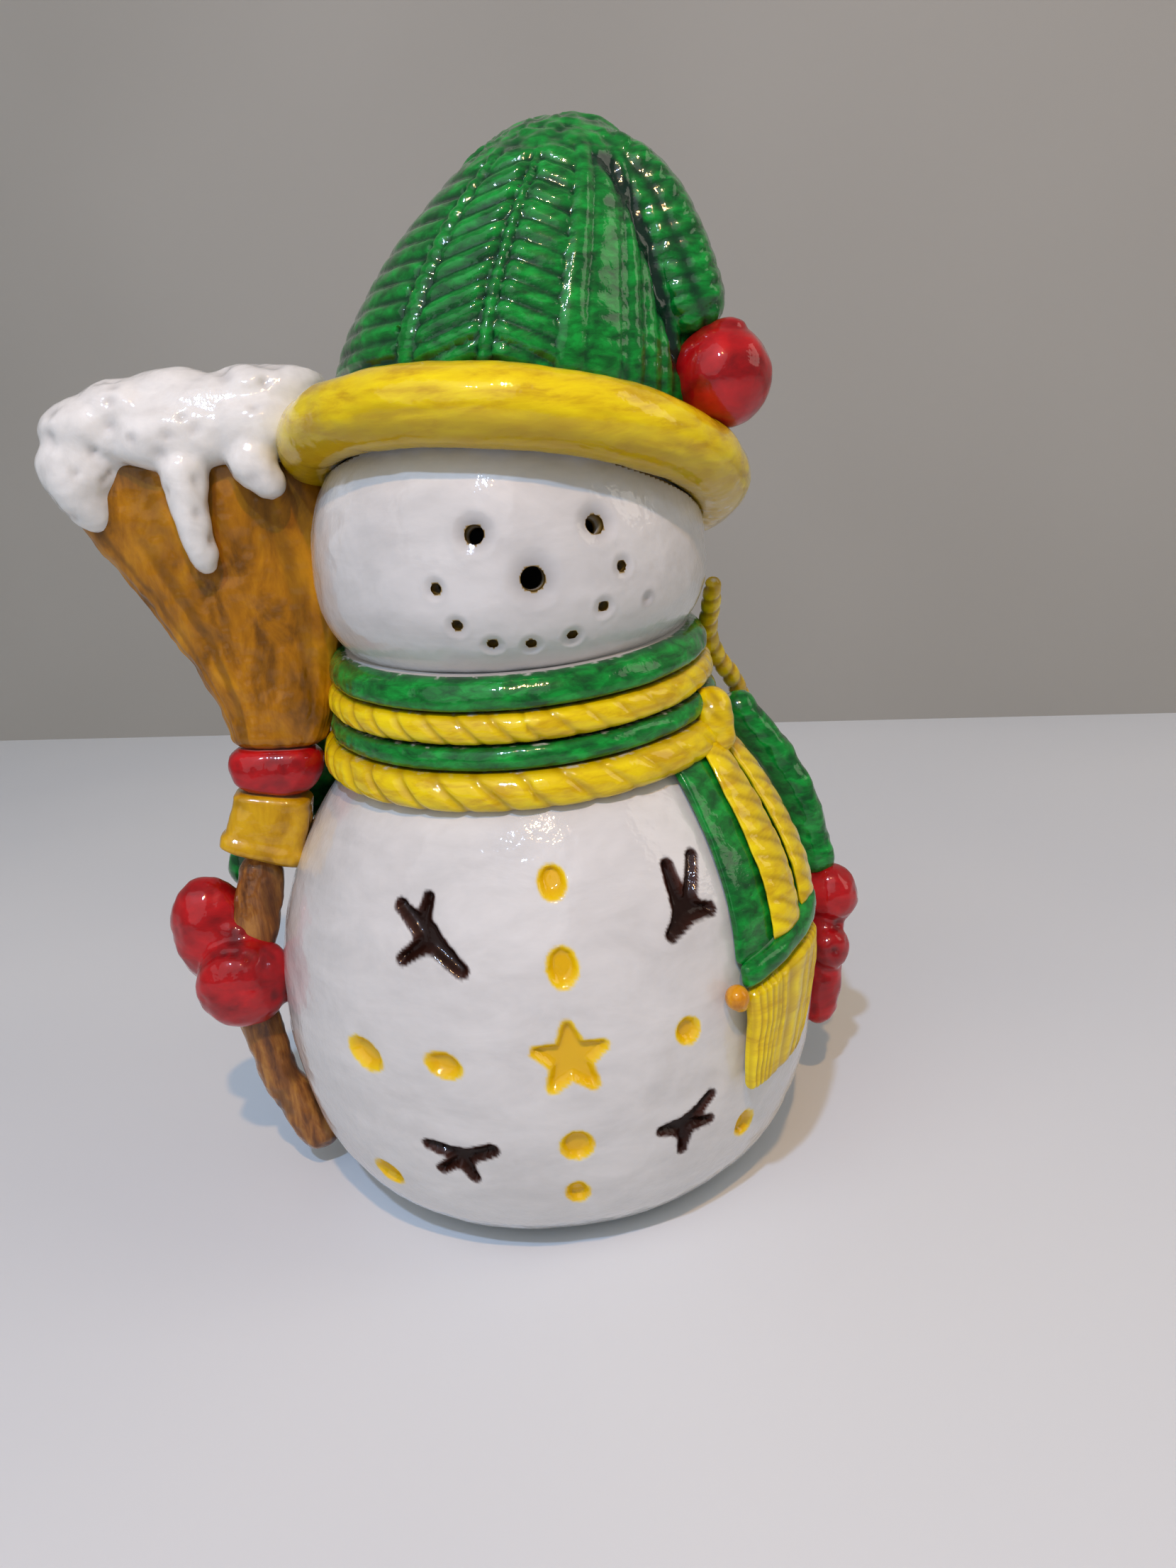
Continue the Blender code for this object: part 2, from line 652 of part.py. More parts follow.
TAIL_ARM = [
    (36.4, 6, 80), (40.2, 6.5, 74.5), (45.2, 6, 67), (48.8, 5, 59), (50.6, 4, 51), (52.0, 2.5, 44.5),
]
TAIL_ARM_RADII = [3.3, 3.5, 3.5, 3.5, 3.4, 3.2]
BROOM_ARM = [(-35.5, 9, 79), (-41.5, 9, 73), (-47.5, 8, 66), (-52.5, 5.5, 59.5), (-56.0, 2, 55.0)]
BROOM_ARM_RADII = [5.2, 5.4, 5.2, 4.8, 4.2]


def make_arms(wrap, clearances, back_bound):
    hanging = tube("sleeve_tail_side", TAIL_ARM, TAIL_ARM_RADII, "green_glaze")
    bent = tube("sleeve_broom_side", BROOM_ARM, BROOM_ARM_RADII, "green_glaze")
    for item in (hanging, bent):
        for clearance in (wrap, *clearances):
            combine(item, clearance)
    combine(hanging, back_bound)
    open_hand = ball("mitten_tail_side", (53.2, 2.0, 40.4), (5.4, 5.2, 5.8), "red_glaze")
    joined(
        open_hand,
        ball("thumb", (51.8, -1.2, 31.0), (4.1, 4.1, 4.4)),
        tube("fingers", [(52.4, 1.5, 38), (51.2, 0.8, 28), (50.4, 0.0, 22), (49.4, -0.6, 14.8)],
             [3.6, 3.8, 3.8, 2.6]),
    )
    combine(open_hand, wider_tube("sleeve_clearance", TAIL_ARM, TAIL_ARM_RADII))
    fist = ball("mitten_broom_side", (-60.4, -3.5, 48.2), (7.4, 6.0, 10.4), "red_glaze", 16, (0, -6, 0))
    joined(fist, ball("finger_lobe", (-56.0, -10.0, 40.8), (8.2, 5.4, 8.4), None, 16, (0, 12, 0)))
    combine(fist, wider_tube("cuff_clearance", BROOM_ARM, BROOM_ARM_RADII))
    for item in (open_hand, fist):
        for clearance in clearances:
            combine(item, clearance)
    return hanging, bent, open_hand, fist


HANDLE_PATH = [
    (-49.4, -3.2, 62.4), (-51.6, -4.6, 54), (-54.6, -6.2, 42), (-54.4, -6.6, 30), (-51.6, -6.4, 17),
    (-46.0, -6.0, 4.6),
]
HANDLE_RADII = [3.9, 4.0, 3.8, 3.5, 3.5, 3.8]


def superellipse(half_width, half_depth, count=16, power=2.6):
    points = []
    for n in range(count):
        c, s = math.cos(math.tau * n / count), math.sin(math.tau * n / count)
        points.append((
            half_width * math.copysign(abs(c) ** (2 / power), c),
            half_depth * math.copysign(abs(s) ** (2 / power), s),
        ))
    return points


def stacked(name, slot, sections, count=16):
    """A loft through flat sections: centre x, y and z, half width, half depth and roll."""
    rings = []
    for x, y, z, half_width, half_depth, roll in sections:
        slope = math.tan(math.radians(roll))
        around = superellipse(half_width, half_depth, count)
        rings.append([(x + u, y + v, z + u * slope) for u, v in around])
    return lofted(name, rings, slot)


BRISTLES = [
    (-44.2, -0.5, 81.2, 7.8, 4.4, -4), (-43.6, 1.0, 90, 10.6, 5.2, -4),
    (-45.0, 2.6, 101, 14.6, 6.0, -3), (-47.6, 3.6, 112, 18.8, 6.6, -3),
    (-50.4, 4.0, 121, 21.2, 7.0, -3), (-52.4, 4.2, 130, 21.2, 6.6, -3),
]
SNOW = [
    (-51.4, 3.6, 128.8, 20.2, 7.4, -4), (-51.0, 3.6, 131.2, 22.8, 9.0, -3),
    (-50.4, 3.8, 135.0, 23.8, 9.6, 0), (-49.4, 3.8, 139.0, 22.8, 8.8, 2),
    (-47.6, 3.8, 142.2, 18.8, 6.4, 3), (-46.4, 3.8, 143.4, 12.6, 3.0, 3),
]
# Drips of snow down the bristles: path, and radius along it
DRIPS = [
    ([(-50.8, -3.6, 131), (-51.0, -5.0, 123), (-50.2, -5.2, 116), (-49.6, -4.6, 111.5)],
     [4.6, 3.8, 3.2, 1.8]),
    ([(-42.0, -3.4, 131.5), (-38.8, -4.8, 126.5), (-35.2, -5.0, 121.8)], [4.6, 4.0, 2.8]),
    ([(-68.0, 1.5, 134.5), (-68.6, 0.5, 127.5), (-66.2, 0, 119.5)], [6.4, 5.8, 2.4]),
]


def make_broom(clearances, hat_bounds):
    bristles = stacked("broom_bristles", "ochre_glaze", BRISTLES)
    binding = stacked("broom_binding", "red_glaze", [
        (-44.6, -1.0, 80.9, 7.6, 4.8, -5), (-45.2, -1.3, 77.5, 8.1, 5.4, -7),
        (-46.0, -1.8, 73.6, 6.6, 4.9, -10),
    ])
    ferrule = stacked("broom_ferrule", "ochre_glaze", [
        (-46.1, -2.0, 73.1, 6.4, 4.6, -11), (-47.1, -2.4, 68.8, 6.6, 4.8, -15),
        (-48.2, -2.8, 65.6, 6.5, 4.8, -19), (-48.7, -3.0, 64.8, 7.2, 5.4, -20),
        (-49.1, -3.2, 62.2, 7.0, 5.2, -21),
    ])
    handle = tube("broom_handle", HANDLE_PATH, HANDLE_RADII, "brown_glaze")
    snow = stacked("broom_snow", "snow_glaze", SNOW, 20)
    for n, (path, radii) in enumerate(DRIPS):
        joined(snow, tube(f"drip_{n}", path, radii))
    sections = [(x, y, z, w + GAP, d + GAP, roll) for x, y, z, w, d, roll in BRISTLES]
    x, y, z, w, d, roll = sections[-1]
    sections[-1] = (x, y, z + GAP, w, d, roll)
    combine(snow, stacked("bristle_clearance", None, sections))
    pieces = (bristles, binding, ferrule, handle, snow)
    for item in pieces:
        for clearance in (*clearances, *hat_bounds):
            combine(item, clearance, solver="MANIFOLD")
    combine(ferrule, wider_tube("handle_socket", HANDLE_PATH, HANDLE_RADII))
    return pieces


def make_tealight():
    """A battery tea light, standing on the lantern's floor."""
    base = LIGHT_BASE
    top = base + CASE_HEIGHT
    radius = LIGHT_RADIUS
    case = turned("tealight_case", [
        (0, base + 3.0), (radius - 1.4, base + 3.0), (radius - 1.4, top), (radius, top),
        (radius, base + 0.5), (radius - 0.5, base), (0, base),
    ], "white_plastic", 28)
    groove = box("door_groove", (-11.8, -11.8, base + 0.6), (11.8, 25, base + 2.2))
    mouth = box("door_mouth", (-10.3, -11.8, base - 1), (10.3, 25, base + 0.8))
    well = turned("battery_well", [
        (0, base + 4), (10.6, base + 4), (10.6, base + 1), (0, base + 1),
    ], segments=24)
    switch_slot = box("switch_slot", (13.2, -3.6, base - 1), (15.8, 3.6, base + 4))
    for cutter in (groove, mouth, well, switch_slot):
        combine(case, cutter)
    door = box("tealight_battery_door", (-11.5, -11.4, base + 0.9), (11.5, 25, base + 1.9), "white_plastic")
    bound = turned("case_bound", [
        (0, base + 4), (radius - 0.1, base + 4), (radius - 0.1, base), (0, base),
    ], segments=28)
    combine(door, bound, "INTERSECT")
    turned("tealight_battery", [
        (0, base + 5.5), (8.4, base + 5.5), (8.6, base + 5.2), (9.9, base + 5.2), (10.0, base + 5.0),
        (10.0, base + 2.3), (0, base + 2.3),
    ], "steel", 20)
    turned("tealight_board", [
        (0, base + 10.2), (radius - 1.9, base + 10.2), (radius - 1.9, base + 9.0), (0, base + 9.0),
    ], "board", 24)
    strip_metal("tealight_contact_top", [
        (-6, 0, base + 8.6), (0, 0, base + 8.3), (3, 0, base + 6.1), (6.5, 0, base + 6.3)], 3.0)
    box("tealight_contact_side", (-12.9, -2.0, base + 3.4), (-12.4, 2.0, base + 8.7), "steel")
    turned("tealight_wax_top", [
        (4.6, top - 4.2), (11, top - 3.6), (radius - 1.8, top - 1.4), (radius - 1.8, top + 0.2),
        (11, top - 2.0), (4.6, top - 2.6),
    ], "white_plastic", 28)
    turned("tealight_led", [
        (0, base + 19.6), (1.4, base + 19.2), (2.3, base + 18.0), (2.5, base + 16.6), (2.5, base + 11.6),
        (2.9, base + 11.6), (2.9, base + 10.5), (0, base + 10.5),
    ], "flame_plastic", 12)
    tip = base + 35.0
    turned("tealight_flame", [
        (0, tip), (1.2, base + 33.5), (3.2, base + 29.5), (4.9, base + 24.5), (5.4, base + 19.5),
        (4.3, base + 14.5), (4.2, base + 12.0), (3.2, base + 12.0), (3.0, tip - 14), (1.6, tip - 8),
        (0, tip - 3.5),
    ], "flame_plastic", 14)
    box("tealight_switch", (13.5, -3.2, base + 0.3), (15.5, -0.4, base + 6.5), "black_plastic")


def strip_metal(name, points, width, thickness=0.3):
    rings = []
    for x, y, z in points:
        near, far, high = y - width / 2, y + width / 2, z + thickness
        rings.append([(x, near, z), (x, far, z), (x, far, high), (x, near, high)])
    return lofted(name, rings, "steel")


def settle(name, items, shift):
    """Parents pieces to an empty, which shifts them so that the foot's centre is the origin."""
    frame = bpy.data.objects.new(name, None)
    PARTS.objects.link(frame)
    frame.location.x = mm(shift)
    for item in items:
        item.parent = frame


def build():
    clearances = body_clearance()
    make_body()
    make_head()
    make_hat()
    make_scarf(clearances)
    wrap = scarf_clearance()
    knot_centre = at_angle(66, 33.4, 81.4, (SCARF_CENTRE_X, 0))
    knot = ball("scarf_knot", knot_centre, KNOT_RADII, "yellow_glaze")
    combine(knot, wrap)
    for clearance in clearances:
        combine(knot, clearance)
    knot_bound = ball("knot_clearance", knot_centre, [r + GAP for r in KNOT_RADII])
    for item in make_front_tail(wrap, clearances):
        combine(item, knot_bound)
    back_bound, back_panel = make_back_tail(wrap, clearances)
    sleeves = make_arms(wrap, clearances, back_bound)
    combine(back_panel, wider_tube("sleeve_bound", TAIL_ARM, TAIL_ARM_RADII))
    brim_bound = turned("brim_bound", brim_profile(GAP), segments=ROUND)
    brim_bound.matrix_world = hat_place()
    crown_bound = lofted("crown_bound", crown_rings(-GAP, 36))
    broom = make_broom((*clearances, wrap), (brim_bound, crown_bound))
    combine(sleeves[3], wider_tube("grip", HANDLE_PATH, HANDLE_RADII))
    bent_arm_bound = wider_tube("bent_arm_bound", BROOM_ARM, BROOM_ARM_RADII)
    for item in broom[1:4]:
        combine(item, bent_arm_bound)
    for item in PARTS.objects:
        drop_scraps(item)
    figure = PARTS.objects[:]
    settle("figure_frame", figure, -BODY_X)
    make_tealight()
    light = [item for item in PARTS.objects if item.parent is None and item.data]
    settle("tealight_frame", light, 0.0)


build()
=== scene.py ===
# %% [markdown]
# # A painted ceramic snowman lantern
# The real thing is a slip-cast ceramic figure, painted by hand and varnished. This lesson
# rebuilds its looks around a fixed frame: the measured solids of the figure. We load the
# frame first, because every later piece takes its place from it and stands for one of its
# solids.

# %% Load the frame
import math

import bmesh
import bpy
import numpy as np
from mathutils import Matrix, Vector


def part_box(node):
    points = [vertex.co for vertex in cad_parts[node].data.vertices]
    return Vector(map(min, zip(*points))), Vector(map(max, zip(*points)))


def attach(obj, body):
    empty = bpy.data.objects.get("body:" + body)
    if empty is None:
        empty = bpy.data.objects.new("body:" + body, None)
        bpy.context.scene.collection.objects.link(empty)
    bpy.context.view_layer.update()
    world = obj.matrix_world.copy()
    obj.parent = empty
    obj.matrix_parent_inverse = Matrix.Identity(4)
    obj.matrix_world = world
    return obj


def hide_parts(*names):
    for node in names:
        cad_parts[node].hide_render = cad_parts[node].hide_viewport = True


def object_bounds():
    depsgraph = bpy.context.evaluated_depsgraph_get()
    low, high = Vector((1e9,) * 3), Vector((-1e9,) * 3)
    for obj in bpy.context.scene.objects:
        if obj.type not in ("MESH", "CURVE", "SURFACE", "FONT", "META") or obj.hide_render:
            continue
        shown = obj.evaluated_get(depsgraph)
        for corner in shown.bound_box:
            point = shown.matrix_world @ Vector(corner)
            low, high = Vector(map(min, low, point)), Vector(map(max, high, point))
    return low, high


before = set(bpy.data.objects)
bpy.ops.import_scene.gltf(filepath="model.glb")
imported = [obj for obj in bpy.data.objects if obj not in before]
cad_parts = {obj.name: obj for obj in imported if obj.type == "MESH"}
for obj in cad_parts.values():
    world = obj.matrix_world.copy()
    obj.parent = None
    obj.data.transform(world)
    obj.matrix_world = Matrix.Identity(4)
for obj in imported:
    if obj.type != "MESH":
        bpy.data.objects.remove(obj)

cad_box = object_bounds()

# %% [markdown]
# ## Measures
# We sculpt in millimetres. The sculpted layout stands a little to one side of the foot's
# centre, which is the frame's origin, so one number shifts every figure piece over. The belly
# node's foot sits square on the origin, and we print its box's width and height.

# %% Measures
MM = 0.001
LAYOUT_SHIFT = 1.1
BELLY_X = -LAYOUT_SHIFT
WALL = 4.2  # thickness of the casting
FLOOR = 4.0  # thickness of the closed foot
HEAD_X, HEAD_Z = -0.6, 107.0
HEAD_RADIUS, HEAD_HALF = 33.0, 21.0
HEAD_TOP, HEAD_POWER = 30.0, 2.4  # the upper half is taller and fuller
BELLY_LINE = [  # radius and height, from the neck down to the foot
    (26.0, 85.5), (26.2, 80.3), (31.2, 77.0), (36.4, 71.0), (42.0, 62.0), (45.8, 53.0),
    (47.8, 42.0), (48.2, 31.0), (46.8, 20.0), (43.2, 10.0), (37.6, 3.5), (30.8, 0.0),
]
low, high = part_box("body_shell")
print(f"belly is {(high.x - low.x) / MM:.1f} mm wide and {(high.z - low.z) / MM:.1f} mm tall")

# %% [markdown]
# ## Curves
# A pot is thrown or cast around a line. A Catmull-Rom curve passes through every point that
# we measured and stays smooth between them, which is why we use it for outlines, arms and
# cords alike. Resampling it by its length gives rows of even height for the sculpting.

# %% Curves
def smooth_line(points, steps=12):
    """A Catmull-Rom curve through points of any number of coordinates."""
    points = np.asarray(points, float)
    padded = np.vstack([2 * points[0] - points[1], points, 2 * points[-1] - points[-2]])
    out = []
    for n in range(len(points) - 1):
        a, b, c, d = padded[n:n + 4]
        t = (np.arange(steps) / steps)[:, None]
        out.append(0.5 * (2 * b + (c - a) * t + (2 * a - 5 * b + 4 * c - d) * t ** 2
                          + (3 * b - a - 3 * c + d) * t ** 3))
    return np.vstack(out + [points[-1:]])


def lengths(line):
    """How far along a line each of its points lies."""
    return np.concatenate([[0], np.cumsum(np.linalg.norm(np.diff(line, axis=0), axis=1))])


def resample(line, spacing, keep=None):
    """Points evenly spaced along a line, measured on its first `keep` coordinates."""
    line = np.asarray(line, float)
    along = lengths(line[:, :keep])
    count = max(2, int(round(along[-1] / spacing)) + 1)
    at = np.linspace(0, along[-1], count)
    return np.stack([np.interp(at, along, line[:, k]) for k in range(line.shape[1])], 1)


def unit(vectors):
    """Vectors scaled to length 1."""
    return vectors / np.maximum(np.linalg.norm(vectors, axis=-1, keepdims=True), 1e-6)


def shifted(line, amount):
    """An outline of radius and height moved outwards, square to itself."""
    line = np.asarray(line, float)
    run = unit(np.gradient(line, axis=0))
    return line + amount * np.stack([-run[:, 1], run[:, 0]], 1)


belly_curve = np.vstack([BELLY_LINE[:2], smooth_line(BELLY_LINE[2:])])
print("belly curve:", len(belly_curve), "points")

# %% [markdown]
# ## Unevenness
# Nothing poured and brushed by hand is even. Value noise, a smooth blend between random
# numbers on a grid, is the simplest unevenness that is the same on every run, because each
# random number comes from the grid place itself.

# %% Unevenness
def lattice(cell, seed):
    """A random number from -1 to 1 at each whole place of a grid."""
    mask = 0xFFFFFFFF
    n = (cell[..., 0] * 374761393 + cell[..., 1] * 668265263
         + cell[..., 2] * 1442695041 + seed * 974711) & mask
    n = ((n ^ (n >> 13)) * 1103515245) & mask
    return ((n ^ (n >> 16)) & 0xFFFF) / 32767.5 - 1


def uneven(points, size, seed=0):
    """Smooth noise from -1 to 1 at points; its lumps are `size` mm across (number or 3)."""
    scaled = np.asarray(points, float) / (np.asarray(size, float) / 2) + 500
    cell = np.floor(scaled).astype(np.int64)
    part = scaled - cell
    part = part * part * (3 - 2 * part)
    total = 0
    for corner in range(8):
        step = np.array([corner & 1, corner >> 1 & 1, corner >> 2 & 1])
        weight = np.prod(np.where(step == 1, part, 1 - part), axis=-1)
        total = total + weight * lattice(cell + step, seed)
    return total


def ease(x, start, stop):
    """0 before start, 1 after stop, smooth between."""
    t = np.clip((np.asarray(x, float) - start) / (stop - start), 0, 1)
    return t * t * (3 - 2 * t)


print("unevenness at the origin:", round(float(uneven(np.zeros(3), 5.0)), 3))

# %% [markdown]
# ## Skins
# A turned or drawn-out piece is a grid of points: rows along it, each row running once round
# it. One function closes such a grid into a watertight skin, either with a point at each end
# or, for a ring such as the hat's brim, by joining the last row to the first.

# %% Skins
def skin(rows, ring=False):
    """Points and faces of a closed skin over rows of points."""
    rows = np.asarray(rows, float)
    count, around = rows.shape[:2]
    here = np.arange(count if ring else count - 1)[:, None] * around
    there = (here + around) % (count * around)
    side = np.arange(around)[None, :]
    beside = (side + 1) % around
    faces = np.stack([here + side, here + beside, there + beside, there + side], -1)
    faces = faces.reshape(-1, 4).tolist()
    points = rows.reshape(-1, 3)
    if not ring:
        points = np.vstack([points, rows[0].mean(0), rows[-1].mean(0)])
        first, last = count * around, count * around + 1
        end = (count - 1) * around
        for n in range(around):
            faces.append([first, (n + 1) % around, n])
            faces.append([last, end + n, end + (n + 1) % around])
    return points, faces


def mesh_of(name, points, faces):
    """An object from millimetre points, its faces turned to look outwards."""
    mesh = bpy.data.meshes.new(name)
    moved = (np.asarray(points) + (LAYOUT_SHIFT, 0, 0)) * MM
    mesh.from_pydata(moved.tolist(), [], faces)
    shape = bmesh.new()
    shape.from_mesh(mesh)
    if shape.calc_volume(signed=True) < 0:
        bmesh.ops.reverse_faces(shape, faces=shape.faces)
    shape.to_mesh(mesh)
    shape.free()
    mesh.shade_smooth()
    item = bpy.data.objects.new(name, mesh)
    bpy.context.scene.collection.objects.link(item)
    return item


def give_paint(item, cover, second, hollow):
    """Stores masks per point: where its paint and a second paint lie, and how hollow it is, which the
    finish paints as pooled paint and painted shade.
    """
    masks = np.stack([mask.ravel() for mask in np.broadcast_arrays(cover, second, hollow)], 1)
    colours = np.zeros((len(item.data.vertices), 4), np.float32)
    colours[:len(masks), :3] = masks
    colours[:, 3] = 1
    layer = item.data.color_attributes.new("paint", "FLOAT_COLOR", "POINT")
    layer.data.foreach_set("color", colours.ravel())


def read_points(item):
    """A mesh's points in millimetres, and its normals."""
    read = []
    for key in ("co", "normal"):
        flat = np.empty(len(item.data.vertices) * 3, np.float32)
        item.data.vertices.foreach_get(key, flat)
        read.append(flat.reshape(-1, 3).astype(float))
    return read[0] / MM - (LAYOUT_SHIFT, 0, 0), read[1]


def move_points(item, points):
    """Puts a mesh's points at new places in millimetres."""
    flat = ((points + (LAYOUT_SHIFT, 0, 0)) * MM).astype(np.float32).ravel()
    item.data.vertices.foreach_set("co", flat)
    item.data.update()


print("a skin over 3 rows of 4 points has", len(skin(np.zeros((3, 4, 3)))[1]), "faces")

# %% [markdown]
# ## Cutting and fusing
# Openings are cut with a Boolean modifier. Lumps such as mittens and snow start as several
# overlapping shapes. A voxel remesh melts them into one skin, the way slip runs together in a
# mould, and a few rounds of smoothing soften the joints.

# %% Cutting and fusing
def finished(item, *modifiers):
    """Applies (kind, settings) modifiers to an object's mesh and returns the object."""
    for kind, settings in modifiers:
        modifier = item.modifiers.new(kind.title(), kind)
        for key, value in settings.items():
            setattr(modifier, key, value)
    bpy.context.view_layer.update()
    graph = bpy.context.evaluated_depsgraph_get()
    mesh = bpy.data.meshes.new_from_object(item.evaluated_get(graph))
    item.modifiers.clear()
    item.data = mesh
    mesh.shade_smooth()
    return item


SHARP_EDGE = math.radians(48)  # cut edges stay crisp, sculpted ones stay soft


def cut(item, cutter):
    """Cuts one object out of another and removes the cutter."""
    settings = {"operation": "DIFFERENCE", "solver": "MANIFOLD", "object": cutter}
    finished(item, ("BOOLEAN", settings))
    item.data.set_sharp_from_angle(angle=SHARP_EDGE)
    bpy.data.objects.remove(cutter)


def fused(name, parts, voxel=0.6, rounds=4):
    """One smooth closed skin around overlapping parts, each (points, faces)."""
    points, faces, base = [], [], 0
    for part_points, part_faces in parts:
        points.append(np.asarray(part_points))
        faces += [[base + v for v in face] for face in part_faces]
        base += len(part_points)
    item = mesh_of(name, np.vstack(points), faces)
    remesh = {"mode": "VOXEL", "voxel_size": voxel * MM, "use_smooth_shade": True}
    return finished(item, ("REMESH", remesh), ("SMOOTH", {"factor": 0.5, "iterations": rounds}))


def ball(centre, radii, turn=(0, 0, 0)):
    """An oval, as points and faces, turned about x, y and z by degrees."""
    count = 28  # bands from pole to pole
    tilt = np.array(Matrix.Rotation(math.radians(turn[2]), 3, "Z")
                    @ Matrix.Rotation(math.radians(turn[1]), 3, "Y")
                    @ Matrix.Rotation(math.radians(turn[0]), 3, "X"))
    rows = []
    for n in range(1, count):
        polar = math.pi * n / count
        angle = np.arange(2 * count) * math.pi / count
        ring = np.stack([np.sin(polar) * np.cos(angle), np.sin(polar) * np.sin(angle),
                         np.full_like(angle, np.cos(polar))], 1)
        rows.append((ring * radii) @ tilt.T + centre)
    return skin(np.array(rows))


def tube_rows(path, radii, spacing=0.6, around=40, flat=1.0):
    """Rows round a smooth path, with rounded ends, and where each row lies along it."""
    line = resample(smooth_line(np.column_stack([path, radii])), spacing, 3)
    middle, radius = line[:, :3], line[:, 3]
    run = unit(np.gradient(middle, axis=0))
    side = unit(np.cross(run, (0.0, 1.0, 0.05)))
    out = np.cross(side, run)
    along = lengths(middle)
    from_end = np.minimum(along, along[-1] - along) + 0.15
    edge = from_end / np.maximum(radius, 0.1)
    cap = np.sqrt(np.clip(1 - np.clip(1 - edge, 0, 1) ** 2, 0.02, 1))
    angle = np.arange(around) / around * math.tau
    c, s = np.cos(angle)[None, :, None], flat * np.sin(angle)[None, :, None]
    ring = c * side[:, None] + s * out[:, None]
    return middle[:, None] + (radius * cap)[:, None, None] * ring, along, angle


print("cutting and fusing ready")

# %% [markdown]
# ## Finishes
# The figure was painted with artist's acrylics straight on the fired casting, then given a
# thick clear varnish. So every colour is the same build-up: paint that is thin in one place
# and pooled in another, over pale ceramic, under one glossy coat, with painted shade darkening
# it in hollows. A principled shader does this with its base for the paint and its coat for the
# varnish. Only the brush marks, the colours and the varnish's ripples change from one finish to
# the next.

# %% Colour and node helpers
def colour(code):
    """A linear colour from an sRGB hex code."""
    parts = [int(code[n:n + 2], 16) / 255 for n in (1, 3, 5)]
    return (*[c / 12.92 if c <= 0.04045 else ((c + 0.055) / 1.055) ** 2.4 for c in parts], 1)


def add_node(tree, kind, inputs=None, **settings):
    """Adds a node, sets it up, and links or fills its sockets."""
    item = tree.nodes.new(kind)
    for key, value in settings.items():
        setattr(item, key, value)
    for key, value in (inputs or {}).items():
        if isinstance(value, bpy.types.NodeSocket):
            tree.links.new(value, item.inputs[key])
        else:
            item.inputs[key].default_value = value
    return item


def new_tree(name):
    """A new material and its empty node tree."""
    material = bpy.data.materials.new(name)
    material.use_nodes = True
    tree = material.node_tree
    tree.nodes.clear()
    return material, tree


def mixed(tree, share, first, second):
    """Colour socket of a mix; share may be a socket or a number."""
    return add_node(tree, "ShaderNodeMix", {0: share, 6: first, 7: second},
                    data_type="RGBA").outputs[2]


def marks(tree, size, detail=4.0, distortion=0.0):
    """Noise whose marks measure `size` mm along x, y and z."""
    place = add_node(tree, "ShaderNodeTexCoord").outputs["Object"]
    scale = [1 / (MM * s) for s in size]
    place = add_node(tree, "ShaderNodeMapping", {"Vector": place, "Scale": scale}).outputs[0]
    return add_node(tree, "ShaderNodeTexNoise", {
        "Vector": place, "Scale": 1.0, "Detail": detail, "Roughness": 0.6,
        "Distortion": distortion}).outputs[0]


def ramp(tree, value, *stops):
    """Colours or greys along a value: (place, hex code) pairs."""
    item = add_node(tree, "ShaderNodeValToRGB", {0: value})
    while len(item.color_ramp.elements) < len(stops):
        item.color_ramp.elements.new(0.5)
    for element, (place, code) in zip(item.color_ramp.elements, stops):
        element.position = place
        element.color = colour(code)
    return item.outputs[0]


BARE_CASTING = "#CFCBC6"  # unglazed pale ceramic that shows where the brush missed
PEEL = 1.6  # mm between the ripples of brushed-on varnish
VARNISH_IOR = 1.5
BRUSH_DEPTH = 0.35  # how strongly brush marks and ripples tilt the light
UNDER_VARNISH = 0.12  # paint under varnish has little shine of its own
THIN_COAT = 0.3  # varnish soaked into the brown marks


def painted(name, slot, deep, body, thin, stroke, hollow, peel=0.02, grain=0.02, roughness=0.42,
            bare=BARE_CASTING, seconds=(), coat=1.0, coat_roughness=0.06):
    """Acrylic paint on cast ceramic under varnish, with the frame's slot that it belongs to.
    The piece's `paint` masks say where the paint lies (red), where a second paint lies (green)
    and how hollow the place is (blue); the blue mask darkens the paint as pooled paint and
    painted shade. Stroke, peel and grain are in mm."""
    material, tree = new_tree(name)
    masks = add_node(tree, "ShaderNodeAttribute", attribute_name="paint").outputs["Color"]
    masks = add_node(tree, "ShaderNodeSeparateColor", {0: masks}).outputs
    strokes = marks(tree, stroke, detail=5.0, distortion=0.4)
    shade = ramp(tree, strokes, (0.34, deep), (0.5, body), (0.68, thin))
    # painted shade and pooled paint: hollows are darkened towards the hollow colour
    shade = mixed(tree, masks[2], shade, colour(hollow))
    if bare:
        shade = mixed(tree, masks[0], colour(bare), shade)
    for channel, code, pooled_and_shaded in seconds:
        second = ramp(tree, strokes, (0.3, pooled_and_shaded), (0.62, code))
        # the second paint is darkened in hollows the same way, with painted shade and pooled paint
        second = mixed(tree, masks[2], second, colour(pooled_and_shaded))
        shade = mixed(tree, masks[channel], shade, second)
    ripples = marks(tree, (PEEL, PEEL, PEEL), detail=2.0)
    fine = add_node(tree, "ShaderNodeBump", {
        "Height": strokes, "Distance": grain * MM * 10, "Strength": BRUSH_DEPTH}).outputs[0]
    wet = add_node(tree, "ShaderNodeBump", {
        "Height": ripples, "Distance": peel * MM * 10, "Strength": BRUSH_DEPTH,
        "Normal": fine}).outputs[0]
    if seconds:
        coat = add_node(tree, "ShaderNodeMapRange", {0: masks[1], 3: coat, 4: THIN_COAT}).outputs[0]
    shader = add_node(tree, "ShaderNodeBsdfPrincipled", {
        "Base Color": shade, "Roughness": roughness, "Specular IOR Level": UNDER_VARNISH,
        "Coat Weight": coat, "Coat Roughness": coat_roughness, "Coat IOR": VARNISH_IOR,
        "Normal": fine, "Coat Normal": wet})
    add_node(tree, "ShaderNodeOutputMaterial", {"Surface": shader.outputs[0]})
    return material, slot


print("finish helpers ready")
